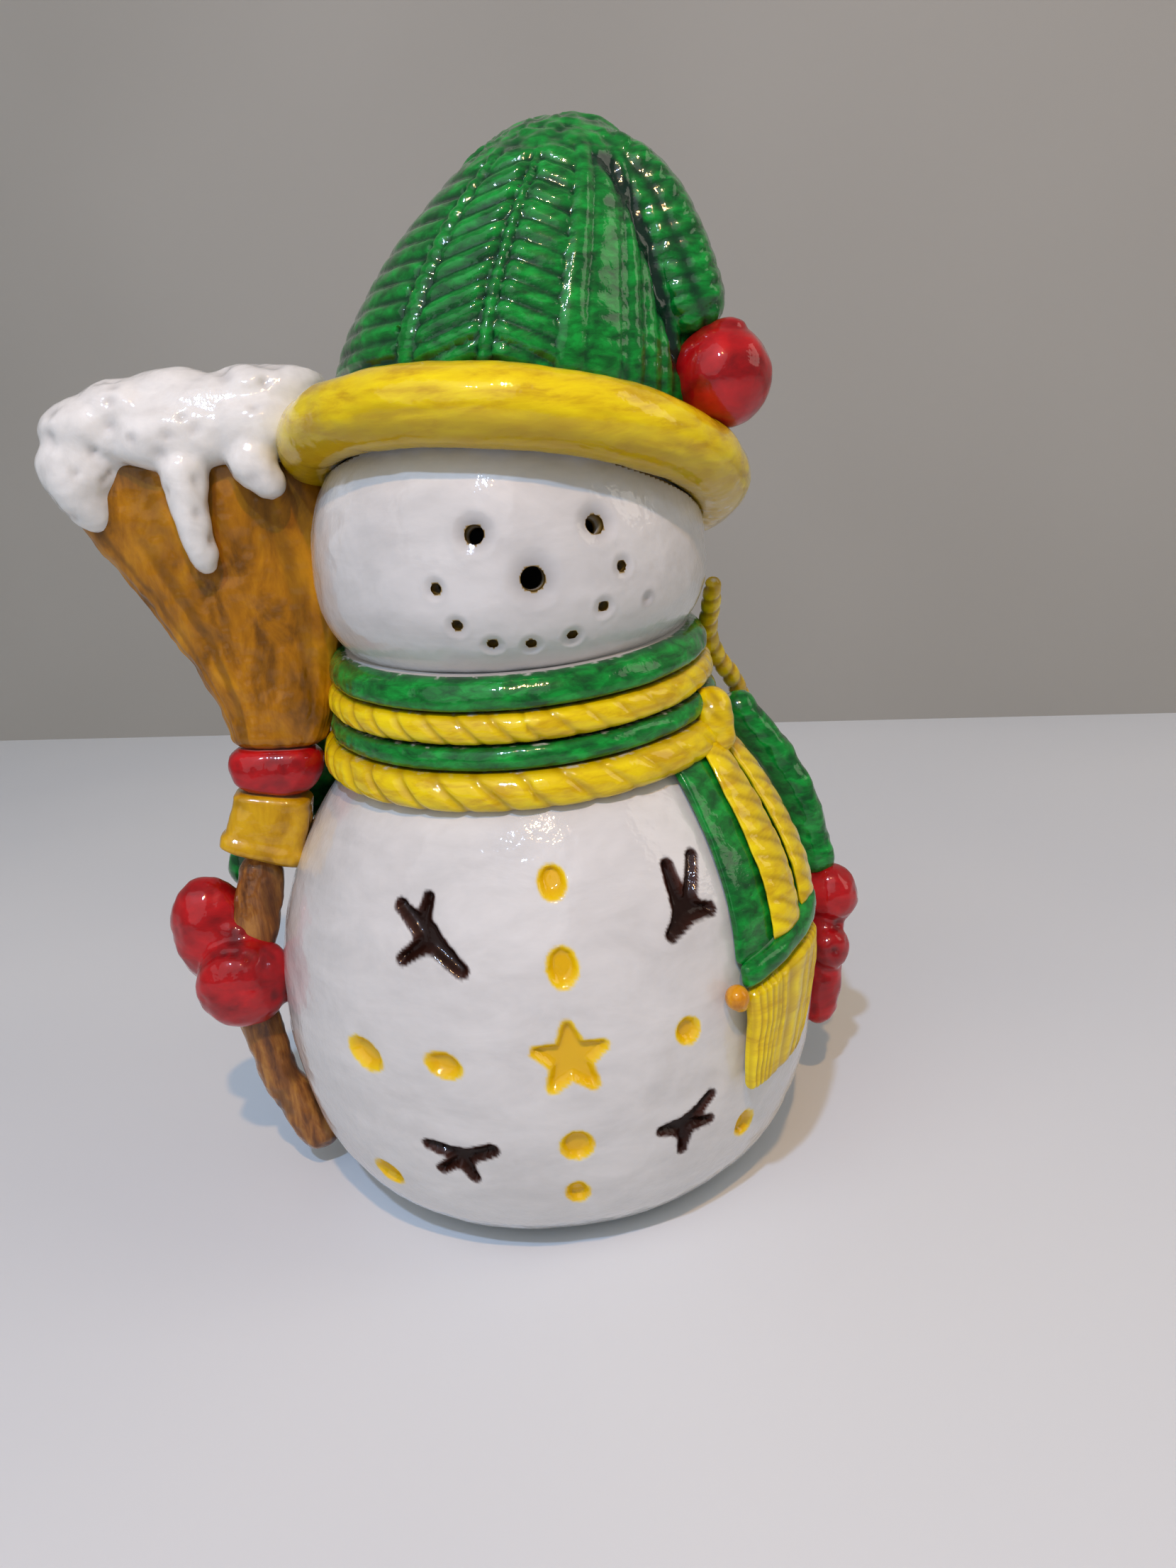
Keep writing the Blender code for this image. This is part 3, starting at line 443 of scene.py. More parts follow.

# %% [markdown]
# ## The paints
# Whites, greens and reds each have a pooled shade, a body shade and a thin shade, and a hollow
# colour of pooled paint and painted shade. The brush marks of the white belly lie across it and
# are faint. The green is a transparent colour, so with pooled paint and painted shade it goes
# almost black in hollows, and it shines emerald where it is thin over the pale ceramic.

# %% The paints
# the colour after each stroke size is the paint's hollow colour: pooled paint and painted shade
white_paint = painted(
    "white_acrylic_varnished", "ivory_glaze", "#CBCAC8", "#D3D2D0", "#DAD9D7", (16, 16, 7),
    "#8E8C8C", grain=0.03, bare=None, peel=0.03,
    seconds=((0, "#F4D800", "#E0B400"), (1, "#4A2214", "#220E08")))
snow_paint = painted(
    "white_snow_acrylic_varnished", "snow_glaze", "#DAD9D5", "#E2E1DD", "#EAE9E5", (5, 5, 4),
    "#A5A3A2", bare=None, peel=0.03)
green_paint = painted(
    "emerald_acrylic_varnished", "green_glaze", "#00501E", "#007A2A", "#08A23C", (4, 4, 1.8),
    "#00281A")
yellow_paint = painted(
    "lemon_acrylic_varnished", "yellow_glaze", "#CDA800", "#E6CA00", "#F2DC00", (8, 8, 2.0),
    "#B49200")
ochre_paint = painted(
    "gold_ochre_acrylic_varnished", "ochre_glaze", "#744A02", "#A66E04", "#C48A0C", (5, 5, 11),
    "#503402", grain=0.03, coat=0.7, coat_roughness=0.14)
amber_paint = painted(
    "amber_acrylic_varnished", "ochre_glaze", "#B87404", "#D69208", "#E6AA18", (3, 3, 3),
    "#8A5206")
gold_paint = painted(
    "golden_acrylic_varnished", "ochre_glaze", "#A07404", "#C49606", "#DAB012", (5, 5, 8),
    "#6E4E04")
red_paint = painted(
    "crimson_acrylic_varnished", "red_glaze", "#82040C", "#A80812", "#C41018", (8, 8, 5),
    "#4E040C", grain=0.012)
brown_paint = painted(
    "umber_acrylic_varnished", "brown_glaze", "#5A3210", "#8A5620", "#B07C36", (1.6, 1.6, 9),
    "#3C1E08", grain=0.04, roughness=0.5)
print("paints:", ", ".join(m.name for m in bpy.data.materials if "acrylic" in m.name))

# %% [markdown]
# ## Placing a finished piece
# Each piece gets its paint, rides the figure's body in the frame, and hides the measured
# solid that it stands for.

# %% Placing a piece
def place(item, finish, node):
    """Paints a piece and lets it stand for a node of the frame, on the figure's body."""
    material, slot = finish
    item.data.materials.clear()
    item.data.materials.append(material)
    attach(item, "figure")
    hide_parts(node)
    print(f"{item.name}: {len(item.data.polygons)} faces")


print("finishes ready to place:", len(bpy.data.materials))

# %% [markdown]
# ## The belly
# The belly is a hollow casting with a closed floor. Its front carries dots, a star and four
# twigs: marks for cutting out that the maker left uncut and painted instead. They are blind
# hollows with soft lips. We work each one out as a distance from its outline, which gives
# both the hollow's depth and the ragged edge of its paint.

# %% The belly's marks
DOTS = [  # azimuth, height, width, tallness, turn
    (2, 65.3, 4.4, 5.6, 0), (2, 54.1, 4.7, 6.4, 0), (1.3, 25.5, 5.4, 5.4, 0),
    (0.6, 15.9, 3.9, 5.0, 0), (-38.5, 39.7, 7.2, 4.8, -25), (-21.5, 39.9, 6.2, 4.2, -15),
    (24, 40.6, 4.3, 4.6, 0), (38, 18.6, 4.6, 5.6, 20), (-40, 16.6, 5.8, 5.0, -30),
]
STAR = (1.7, 40.3, 7.3, 3.2)  # azimuth, height, outer and inner radius
TWIGS = [  # azimuth, height, then arms: start x, y, end x, y, half width at each end, in mm
    (-24.2, 58.9, [(-5.0, 4.2, 0, 0.2, 1.0, 1.5), (0, 0.2, 5.8, -4.9, 1.5, 1.0),
                   (-1.0, 1.4, -0.3, 5.8, 1.1, 0.85), (0.0, -0.8, -4.1, -3.8, 1.3, 0.9)]),
    (29.2, 59.3, [(-1.2, -1.2, -0.9, 5.8, 1.3, 1.0), (0.3, -1.2, 4.1, 6.0, 1.2, 0.95),
                  (0.0, -1.5, -4.1, -4.4, 1.7, 0.9), (0.0, -1.5, 4.0, -2.6, 1.5, 1.0)]),
    (-21.1, 23.7, [(0.5, 0.3, -5.0, 1.9, 1.2, 0.9), (0.8, 0.2, 5.4, 1.8, 1.2, 1.15),
                   (0.0, -0.3, -3.5, -2.9, 1.1, 0.85), (0.6, -0.3, 1.7, -4.1, 1.15, 0.85)]),
    (22.5, 24.5, [(-0.5, 0.0, -4.2, 0.4, 1.5, 0.9), (0.0, 0.3, 4.5, 3.9, 1.2, 0.8),
                  (0.3, 0.0, 4.2, -0.7, 1.1, 0.85), (-0.3, -0.4, -0.6, -4.7, 1.15, 0.75)]),
]
RECESS = 1.3  # depth of the hollows
MARK_REACH = 12  # no mark is wider than this either way
ARM, MELT = 1.16, 2.8  # how fat the twigs' arms are, and how sharply they meet


def star_distance(u, v, outer, inner):
    """Roughly how far outside a five-pointed star a point is."""
    angle = np.arctan2(u, v)
    wedge = np.abs((angle + math.tau / 10) % (math.tau / 5) - math.tau / 10)
    away = np.hypot(u, v)
    x, y = away * np.cos(wedge), away * np.sin(wedge)
    edge_x, edge_y = inner * math.cos(math.tau / 10) - outer, inner * math.sin(math.tau / 10)
    length = math.hypot(edge_x, edge_y)
    side = ((x - outer) * edge_y - y * edge_x) / length
    return np.logaddexp(side * 3, (x - outer + 1.3) * 3) / 3


def twig_distance(u, v, arms):
    """Distance outside a few stubby tapered arms, melted together where they meet."""
    total = 0
    for x_a, y_a, x_b, y_b, thick_a, thick_b in arms:
        run = np.array((x_b - x_a, y_b - y_a))
        share = np.clip(((u - x_a) * run[0] + (v - y_a) * run[1]) / (run @ run), 0, 1)
        off = np.hypot(u - x_a - share * run[0], v - y_a - share * run[1])
        total = total + np.exp(-MELT * (off - ARM * (thick_a + (thick_b - thick_a) * share)))
    return -np.log(total) / MELT


def belly_height(z):
    """Length up the belly's curve at a height, so that marks keep their shape on the slope."""
    line = belly_curve[::-1]
    return np.interp(z, line[:, 1], lengths(line))


def belly_marks(azimuth, z, radius, wobble):
    """Masks of yellow and brown paint, and depth, over the belly."""
    yellow, brown, sunk = (np.zeros_like(z) for _ in range(3))
    jobs = [(a, h, "dot", (w, t, turn)) for a, h, w, t, turn in DOTS]
    jobs += [(STAR[0], STAR[1], "star", STAR[2:])]
    jobs += [(a, h, "twig", arms) for a, h, arms in TWIGS]
    for at, height, kind, shape in jobs:
        off = (azimuth - at + 180) % 360 - 180
        u = np.radians(off) * radius
        v = belly_height(z) - belly_height(height)
        near = (np.abs(u) < MARK_REACH) & (np.abs(v) < MARK_REACH)
        u, v = u[near], v[near]
        if kind == "dot":
            width, tall, turn = shape
            c, s = math.cos(math.radians(turn)), math.sin(math.radians(turn))
            p, q = u * c + v * s, v * c - u * s
            apart = (np.hypot(p / width * 2, q / tall * 2) - 1) * min(width, tall) / 2
        elif kind == "star":
            apart = star_distance(u, v, *shape) - 0.25
        else:
            apart = twig_distance(u, v, shape)
        apart = apart + 0.12 * wobble[near]
        cover = 1 - ease(apart, -0.1, 0.3)
        hollow = 1 - ease(apart, -1.1, 0.2)
        target = brown if kind == "twig" else yellow
        target[near] = np.maximum(target[near], cover)
        sunk[near] = np.maximum(sunk[near], hollow)
    return yellow, brown, sunk


print("belly marks:", len(DOTS), "dots, 1 star,", len(TWIGS), "twigs")

# %% Turned grids
def round_axis(radius, angle, height, x=0.0):
    """Points at a radius and height round an upright axis at x. Angle 0 is the front."""
    return np.stack([x + radius * np.sin(angle), -radius * np.cos(angle), height + 0 * angle], -1)


def azimuths(start, stop, fine, coarse):
    """Degrees round a piece, closer together from start to stop than behind."""
    behind = np.linspace(stop, start + 360, coarse)[1:-1]
    return np.concatenate([np.linspace(start, stop, fine), behind])


def turned_grid(profile, degrees):
    """Angle, radius and height grids of a profile turned through the given degrees."""
    angle = np.radians(degrees)[None, :].repeat(len(profile), 0)
    radius, height = (np.repeat(profile[:, k:k + 1], len(degrees), 1) for k in (0, 1))
    return angle, radius, height


BELLY_TURN = azimuths(-52, 52, 270, 160)
print("columns round the belly:", len(BELLY_TURN))

# %% The belly's skin
DOOR_HALF, DOOR_SPRING, DOOR_TOP = 21.5, 36.0, 46.0  # half width, and where the arch starts and ends
ROW = 0.42  # between rows
INNER_SHADE = 0.55  # painted shade: the inside of the casting is darkened as if in shadow
outer = resample(belly_curve, ROW)
inner = shifted(belly_curve, -WALL)
inner = inner[inner[:, 1] > FLOOR + 4][::-1]
floor_line = smooth_line([(0.5, FLOOR), (15, FLOOR), (28, FLOOR + 0.2), (34, FLOOR + 2.0)], 6)
inner = resample(np.vstack([floor_line, smooth_line(inner[::6], 4)]), 2.0)
neck = [(21.9, 85.1), (22.4, 85.5), (25.4, 85.5)]
foot = [(30.0, 0.0), (29.2, 0.3), (28.4, 0.9), (14, 0.9), (0.5, 0.9)]
profile = np.vstack([inner, neck, outer[1:], foot])
is_outer = np.zeros(len(profile), bool)
is_outer[len(inner) + 3:len(inner) + 2 + len(outer)] = True
shown = is_outer[:, None]
angle, radius, height = turned_grid(profile, BELLY_TURN)
spots = round_axis(radius, angle, height)
wobble = uneven(spots, 1.3, 3) + 0.6 * uneven(spots, 0.7, 4)
yellow, brown, sunk = belly_marks(np.degrees(angle), height, radius, wobble)
arch = np.maximum(height - DOOR_SPRING, 0) / (DOOR_TOP - DOOR_SPRING)
door_run = np.hypot(spots[..., 0] / DOOR_HALF, arch) - 1
behind = (spots[..., 1] > 0) & (height > 2)
lip = np.where(behind, 1 - ease(door_run * 10, 0.0, 1.6), 0)
swell = 0.28 * uneven(spots, 22, 1) + 0.12 * uneven(spots, 7, 2) + 0.045 * uneven(spots, 2.6, 5)
rim_bead = 0.16 * np.clip(4 * sunk * (1 - sunk), 0, 1)
edge = ease(height, 0.5, 5)
radius = radius + shown * (edge * swell - RECESS * sunk + rim_bead - 0.9 * lip)
belly = mesh_of("belly_casting", *skin(round_axis(radius, angle, height, BELLY_X)))
# painted shade: the marks' hollows and the inside are darkened towards the paint's hollow colours
give_paint(belly, yellow * shown, brown * shown, np.maximum(sunk * shown, INNER_SHADE * ~shown))


def door_cutter():
    """A prism through the back, arched at its top."""
    arch = [(DOOR_HALF * math.cos(t), DOOR_SPRING + (DOOR_TOP - DOOR_SPRING) * math.sin(t))
            for t in np.linspace(0, math.pi, 41)]
    outline = [(-DOOR_HALF, FLOOR), (DOOR_HALF, FLOOR)] + arch
    rows = np.array([[(BELLY_X + x, y, z) for x, z in outline] for y in (22.0, 60.0)])
    return mesh_of("door_cutter", *skin(rows))


cut(belly, door_cutter())
place(belly, white_paint, "body_shell")

# %% [markdown]
# ## The head
# A flattened ball on a short neck. Eyes, nose and mouth are round holes through the wall,
# pushed in while the clay was soft, so each sits in a dent with a low lip around it. We dent
# the grid first and then drill it, because the dents need smooth rows and the holes don't.

# %% The head
FACE_HOLES = [  # azimuth, height, radius of the hole
    (-9.0, 115.8, 1.35), (23.2, 115.5, 1.35), (4.8, 108.8, 1.7), (-20.4, 108.5, 0.75),
    (-16.2, 102.8, 0.75), (-7.6, 99.5, 0.75), (3.0, 99.0, 0.75), (14.7, 99.5, 0.75),
    (23.3, 103.4, 0.75), (29.2, 109.0, 0.75),
]
BLEMISH = (37.5, 103.6)  # a filled air bubble on the cheek: azimuth and height
LIP_RISE = 0.10


def head_radius(z):
    """The head's radius at a height."""
    lift = z - HEAD_Z
    half, power = (HEAD_TOP, HEAD_POWER) if lift > 0 else (HEAD_HALF, 2.0)
    return HEAD_RADIUS * max(1 - (abs(lift) / half) ** power, 0) ** (1 / power)


head_levels = [HEAD_Z + (HEAD_TOP if d > 0 else HEAD_HALF) * math.sin(math.radians(d))
               for d in range(80, -47, -6)]
head_line = [(head_radius(z), z) for z in head_levels]
head_line += [(26.3, 90.4), (25.8, 88.0), (25.6, 85.8)]
head_curve = resample(smooth_line(head_line, 6), 0.4)
head_inner = resample(shifted(head_curve, -WALL)[::-1], 2.0)
crest = [(0.5, HEAD_Z + HEAD_TOP - WALL - 1)]
profile = np.vstack([crest, head_inner[::-1], [(22.0, 85.9)], head_curve[::-1]])
is_outer = np.zeros(len(profile), bool)
is_outer[len(head_inner) + 2:] = True
angle, radius, height = turned_grid(profile, azimuths(-58, 62, 260, 120))
spots = round_axis(radius, angle, height)
climb = np.zeros((len(profile), 1))
climb[is_outer, 0] = lengths(profile[is_outer])
print("head outline:", len(profile), "points")


# %% The dents of the face
def dent_shapes():
    """Azimuth, height, dent width and depth, lip radius and width, and how much painted shade darkens
    each dent.
    """
    for at, level, bore in FACE_HOLES:
        big = bore > 1
        wide = bore * (1.7 if big else 1.8)
        yield at, level, wide, 1.1 if big else 0.6, 1.5 * wide, 0.5 * bore, 0.9 if big else 0.6
    yield *BLEMISH, 0.9, 0.4, 1.2, 0.4, 0.6


push = 0.26 * uneven(spots, 20, 11) + 0.13 * uneven(spots, 7, 12) + 0.035 * uneven(spots, 2.4, 13)
grey = np.zeros_like(radius)
for at, level, wide, deep, lip_at, lip_wide, shade in dent_shapes():
    off = (np.degrees(angle) - at + 180) % 360 - 180
    middle = np.interp(level, height[is_outer, 0], climb[is_outer, 0])
    away = np.hypot(np.radians(off) * radius, climb - middle)
    dent = np.exp(-(away / wide) ** 2)
    push += LIP_RISE * np.exp(-((away - lip_at) / lip_wide) ** 2) - deep * dent
    grey = np.maximum(grey, shade * dent)
soot = 0.15 * np.exp(-((away - 1.1) / 0.35) ** 2)  # a dirty ring round the blemish, the last dent
radius = radius + push * is_outer[:, None]
head = mesh_of("head_casting", *skin(round_axis(radius, angle, height, HEAD_X)))
# painted shade: the face's dents and the inside of the head are darkened as if in shadow
give_paint(head, 0, soot, np.maximum(grey, 0.8 * ~is_outer[:, None]))
print("dents in the face:", len(list(dent_shapes())))

# %% The head's holes
LEAN_BACK, LEAN_SIDE = math.radians(16.0), math.radians(9.8)
HAT_PLACE = (Matrix.Translation((1.7, 2.0, 123.2)) @ Matrix.Rotation(-LEAN_BACK, 4, "X")
             @ Matrix.Rotation(LEAN_SIDE, 4, "Y"))
BRIM_UNDER = -3.2


def on_hat(points):
    """Points of the hat's own tilted frame, moved to where the hat sits."""
    turn = np.array(HAT_PLACE)
    return np.asarray(points, float) @ turn[:3, :3].T + turn[:3, 3]


def slab(low, high):
    """A thick flat block between two heights of the hat's frame."""
    size = 60  # half its width, well past the head
    rows = [[(-size, -size, z), (size, -size, z), (size, size, z), (-size, size, z)]
            for z in (low, high)]
    return mesh_of("slab", *skin(on_hat(rows)))


cut(head, slab(BRIM_UNDER - 0.3, 40))
for at, level, bore in FACE_HOLES:
    turn = math.radians(at)
    width = head_radius(level)
    start = np.array([HEAD_X + width * math.sin(turn), -width * math.cos(turn), level])
    slope = (head_radius(level - 1) - head_radius(level + 1)) / 2
    out = np.array(Vector((math.sin(turn), -math.cos(turn), slope)).normalized())
    across = np.array([math.cos(turn), math.sin(turn), 0])
    up = np.cross(out, across)
    circle = np.arange(48) / 48 * math.tau
    ring = np.cos(circle)[:, None] * across + np.sin(circle)[:, None] * up
    rows = [start + ring * bore * flare + out * level_out
            for level_out, flare in ((-9, 0.95), (-3, 1.0), (1, 1.08))]
    cut(head, mesh_of("drill", *skin(rows)))
print("holes through the face:", len(FACE_HOLES))

# %% [markdown]
# ## The hat's brim
# The brim is a disc with a fat rolled edge. Its flat underside was left white. Yellow paint
# stops there in a ragged line, and thins out to near white at one side.

# %% The brim
BRIM_RADIUS, BRIM_ROLL = 39.0, 5.7
BRIM_CORE = BRIM_RADIUS - BRIM_ROLL  # where the rolled edge is centred


def brim_section(grow=0.0):
    """The brim's closed section, radius and height in the hat's frame."""
    size = BRIM_ROLL + grow
    arc = [(BRIM_CORE + size * math.cos(math.radians(a)), size * math.sin(math.radians(a)))
           for a in range(160, -136, -5)]
    top = 1.0 + grow
    return np.array([(20.5, BRIM_UNDER - grow), (20.5, top), (27.6 - grow, top)] + arc
                    + [(28.8, BRIM_UNDER - grow)])


def turned_ring(section_line, around, spacing):
    """Rows round an axis from a closed section: a ring's grid."""
    closed = np.vstack([section_line, section_line[:1]])
    line = resample(closed, spacing)[:-1]
    angle = np.arange(around) / around * math.tau
    return round_axis(line[:, :1], angle, line[:, 1:]), line, angle


rows, line, angle = turned_ring(brim_section(), 520, 0.42)
roll = np.arctan2(line[:, 1], line[:, 0] - BRIM_CORE)[:, None] + 0 * angle
fat = np.hypot(rows[..., 0], rows[..., 1])
out = unit(rows - round_axis(BRIM_CORE, angle, 0))
rolled = (fat > 29.5) & (roll > -2.35)
push = 0.30 * uneven(rows, (16, 16, 9), 21) + 0.12 * uneven(rows, 6, 22) + 0.03 * uneven(rows, 2, 23)
rows = rows + out * (push * rolled)[..., None]
ragged = 0.14 * uneven(rows, 5, 24) + 0.10 * uneven(rows, 1.6, 25)
thin = ease(angle, 1.0, 1.4) * (1 - ease(angle, 1.9, 2.3))
cover = ease(roll + 1.2 * ragged, -2.2, -2.05) * (fat > 29)
cover = cover * (1 - 0.6 * thin * ease(uneven(rows, 2.0, 26), 0.3, 0.8) * (roll < -0.4))
# `ochre` is painted shade: the lower half of the rolled edge is darkened as if shaded from above
ochre = (1 - ease(roll + 0.45 * uneven(rows, (12, 12, 1.6), 27), -1.1, 0.1)) * 0.75
brim = mesh_of("hat_rolled_brim", *skin(on_hat(rows), ring=True))
give_paint(brim, np.where(fat < 30, 0, cover), 0, ochre)
place(brim, yellow_paint, "hat_brim")
rows, _, _ = turned_ring(brim_section(0.15), 240, 1.0)
cut(head, mesh_of("brim_room", *skin(on_hat(rows), ring=True)))
place(head, white_paint, "head_shell")

# %% [markdown]
# ## The hat's crown
# The crown is cast to look knitted: two columns of slanting stitches that lean towards a thin
# beaded rib, plain ribs beside them, and a tip that folds over and hangs down one side in its
# own roll of stitches. We fuse the crown with its tip into one skin, then press the stitches
# into that skin by its height and angle, so that they run unbroken round the surface.

# %% The crown's plain skin
CROWN = np.array([  # height, x, y, radius, share of the hat's lean
    (124.9, 2.4, 2.0, 27.0, 1.0), (130.4, 2.8, 2.0, 29.6, 1.0), (136.4, 3.8, 2.0, 29.0, 0.9),
    (143.2, 5.2, 2.3, 27.2, 0.75), (150.0, 7.0, 2.6, 24.9, 0.6), (157.0, 9.0, 3.0, 21.8, 0.45),
    (163.5, 11.0, 3.0, 18.0, 0.3), (169.0, 12.6, 3.0, 13.4, 0.2), (173.0, 13.6, 3.0, 8.2, 0.1),
    (175.0, 14.0, 3.0, 2.5, 0.0)])
FOLD = np.array([  # x, y, z, radius
    (13.0, -1.0, 166.5, 5.0), (19.5, -4.0, 166.0, 5.4), (24.6, -6.0, 161.5, 5.8),
    (28.2, -8.0, 153.5, 6.0), (30.4, -9.5, 146.0, 5.8), (32.4, -11.0, 141.0, 5.2)])


def crown_rows(shrink=0.0):
    """Rows round the crown, each leaning a little less than the one below."""
    rows = []
    angle = np.arange(96) / 96 * math.tau
    for z, x, y, r, lean in resample(smooth_line(CROWN), 1.2, 4):
        if r - shrink < 1.5:
            continue
        turn = np.array(Matrix.Rotation(-LEAN_BACK * lean, 3, "X")
                        @ Matrix.Rotation(LEAN_SIDE * lean, 3, "Y"))
        rows.append(round_axis(r - shrink, angle, 0) @ turn.T + (x, y, z))
    return np.array(rows)


fold_rows, _, _ = tube_rows(FOLD[:, :3], FOLD[:, 3], 1.0, 40)
crown = fused("hat_knitted_crown", [skin(crown_rows()), skin(fold_rows)], 0.5, 4)
print("crown skin:", len(crown.data.vertices), "points")

# %% The stitches
STITCH = 3.5  # mm from one row of stitches to the next
TIP_STITCH = 2.7  # and on the folded tip
COLUMNS = [  # where each column starts, in degrees from the front, and how it is knitted
    (-180, "rib"), (-172, "up"), (-146, "rib"), (-138, "down"), (-112, "plain"), (-97, "rib"),
    (-90, "rows"), (-38, "rib"), (-31, "up"), (-11.5, "rib"), (-7, "down"), (11, "smooth"),
    (19, "plain"), (31, "thin"), (58, "plain"), (72, "rib"), (80, "up"), (104, "rib"),
    (112, "down"), (136, "plain"), (150, "rib"), (158, "up"), (172, "plain"), (180, "end")]


def groove(x, width):
    """Narrow dips at each whole number of x, 1 at their middle."""
    off = np.abs((x + 0.5) % 1 - 0.5)
    return np.exp(-(off / width) ** 2)


def stitches(turn, z, reach):
    """Height of the knitting in mm over the crown; reach is the distance from its axis."""
    out = np.zeros_like(z)
    for (start, kind), (stop, _) in zip(COLUMNS, COLUMNS[1:]):
        inside = (turn >= start) & (turn < stop)
        share = (turn[inside] - start) / (stop - start) * 2 - 1
        half = np.radians(stop - start) / 2 * reach[inside]
        edge = np.exp(-((1 - np.abs(share)) * half / 0.55) ** 2)
        level = z[inside] / STITCH
        if kind in ("up", "down"):
            lean = 1 if kind == "up" else -1
            rows = groove(level - 0.42 * lean * share * half / STITCH, 0.2)
            bead = np.exp(-((share - 0.62 * lean) / 0.3) ** 2)
            shape = (0.48 + 0.30 * bead) * (1 - rows) - 0.25 * edge
        elif kind == "rib":
            shape = 0.42 * (1 - share ** 2) + 0.26 * (1 - groove(level * 1.5, 0.26)) - 0.25 * edge
        elif kind == "rows":
            fade = 0.4 + 0.6 * ease(turn[inside], -80, -40)
            shape = fade * 0.5 * (1 - groove(level + 0.1 * share, 0.2)) - 0.1 * edge
        elif kind == "thin":
            ribs = groove(turn[inside] / 6.5, 0.26)
            beads = 1 - groove(level * 1.3, 0.2)
            shape = 0.10 + 0.42 * (1 - ribs) + 0.12 * beads - 0.1 * edge
        elif kind == "smooth":
            shape = 0.40 + 0.35 * (1 - share ** 2) + 0.05 * (1 - groove(level, 0.2)) - 0.2 * edge
        else:
            shape = 0.34 + 0.08 * (1 - groove(level, 0.2)) - 0.3 * edge
        out[inside] = shape
    return out


def nearest_on(line, spots):
    """How far each spot is from a line's nearest point, and which point that is."""
    away, nearest = np.full(len(spots), np.inf), np.zeros(len(spots), int)
    for n, at in enumerate(line):
        reach = np.linalg.norm(spots - at, axis=1)
        closer = reach < away
        away[closer], nearest[closer] = reach[closer], n
    return away, nearest


def press_crown(item):
    """Presses the stitches into the crown, and others into its folded tip."""
    spots, out = read_points(item)
    line = smooth_line(CROWN)
    fold = resample(smooth_line(FOLD), 0.5, 3)
    run = lengths(fold[:, :3])
    away, nearest = nearest_on(fold[:, :3], spots)
    lean = np.interp(spots[:, 2], line[:, 0], line[:, 4])
    level = spots[:, 2] - (spots[:, 1] - 2) * np.tan(-LEAN_BACK * lean)
    level = level + (spots[:, 0] - 4) * np.tan(LEAN_SIDE * lean)
    centre = np.stack([np.interp(level, line[:, 0], line[:, k]) for k in (1, 2)], 1)
    off = spots[:, :2] - centre
    turn = np.degrees(np.arctan2(off[:, 0], -off[:, 1]))
    reach = np.hypot(off[:, 0], off[:, 1])
    body = np.interp(level, line[:, 0], line[:, 3])
    on_fold = 1 - ease(away - fold[nearest, 3], 0.3, 1.4)
    on_fold = on_fold * ease(reach - body, -0.2, 1.2)
    knit = stitches(turn, level, np.maximum(reach, 4))
    near_top = ease(level, 165, 169)
    knit = knit * (1 - near_top) + near_top * (0.35 + 0.45 * uneven(spots, 2.6, 33))
    side = spots - fold[nearest, :3]
    around = np.arctan2(side[:, 0] * 0.9 + side[:, 2] * 0.3, -side[:, 1])
    rows = groove(run[nearest] / TIP_STITCH + 0.5 * np.abs(around - 0.3), 0.22)
    bead = np.exp(-((np.abs(around - 0.1) - 0.55) / 0.26) ** 2)
    seam = np.exp(-((around - 0.1) / 0.14) ** 2) + np.exp(-((around + 1.05) / 0.14) ** 2)
    roll = 0.25 + (0.12 + 0.50 * bead) * (1 - rows) - 0.25 * seam
    lift = knit * (1 - on_fold) + roll * on_fold
    joint = np.exp(-((away - fold[nearest, 3] - 2.0) / 1.3) ** 2) * (1 - ease(level, 164, 168))
    lift -= 1.0 * joint
    lift += 0.14 * uneven(spots, 9, 31) + 0.05 * uneven(spots, 2.2, 32)
    move_points(item, spots + out * lift[:, None])
    # painted shade: the stitch grooves and the crease beside the fold are darkened as if in shadow
    dip = 0.85 * (1 - ease(lift, -0.1, 0.42))
    give_paint(item, 1, 0, np.clip(dip + joint * 0.8, 0, 1))


press_crown(crown)
hollow = crown_rows(WALL)
cut(crown, mesh_of("hollow", *skin(np.vstack([hollow[:1] - (0, 0, 9), hollow]))))
cut(crown, slab(-30, 1.3))
rows, _, _ = turned_ring(brim_section(0.12), 240, 1.0)
cut(crown, mesh_of("brim_room", *skin(on_hat(rows), ring=True)))
place(crown, green_paint, "hat_crown")

# %% The pompom
POMPOM = np.array((34.6, -12.5, 134.6))
pompom = fused("hat_pompom_ball", [ball(POMPOM, (7.7, 7.7, 7.8)),
                                   ball(POMPOM + (1.0, -1.0, 6.6), (3.0, 2.8, 1.7))], 0.35, 6)
spots, out = read_points(pompom)
lift = 0.16 * uneven(spots, 6.0, 41) + 0.03 * uneven(spots, 2.0, 42)
move_points(pompom, spots + out * lift[:, None])
# painted shade: low spots between the lumps are darkened
give_paint(pompom, 1, 0, 0.3 * (1 - ease(lift, -0.2, 0.0)))
place(pompom, red_paint, "hat_pompom")

# %% [markdown]
# ## The scarf's wrap
# Four bands go round the neck: a twisted yellow hem, a green band, a twisted yellow cord and a
# green roll under the chin. They hang a little lower in front. The twist is pressed in as
# slanting ridges, and it fades on one side where the mould had worn.

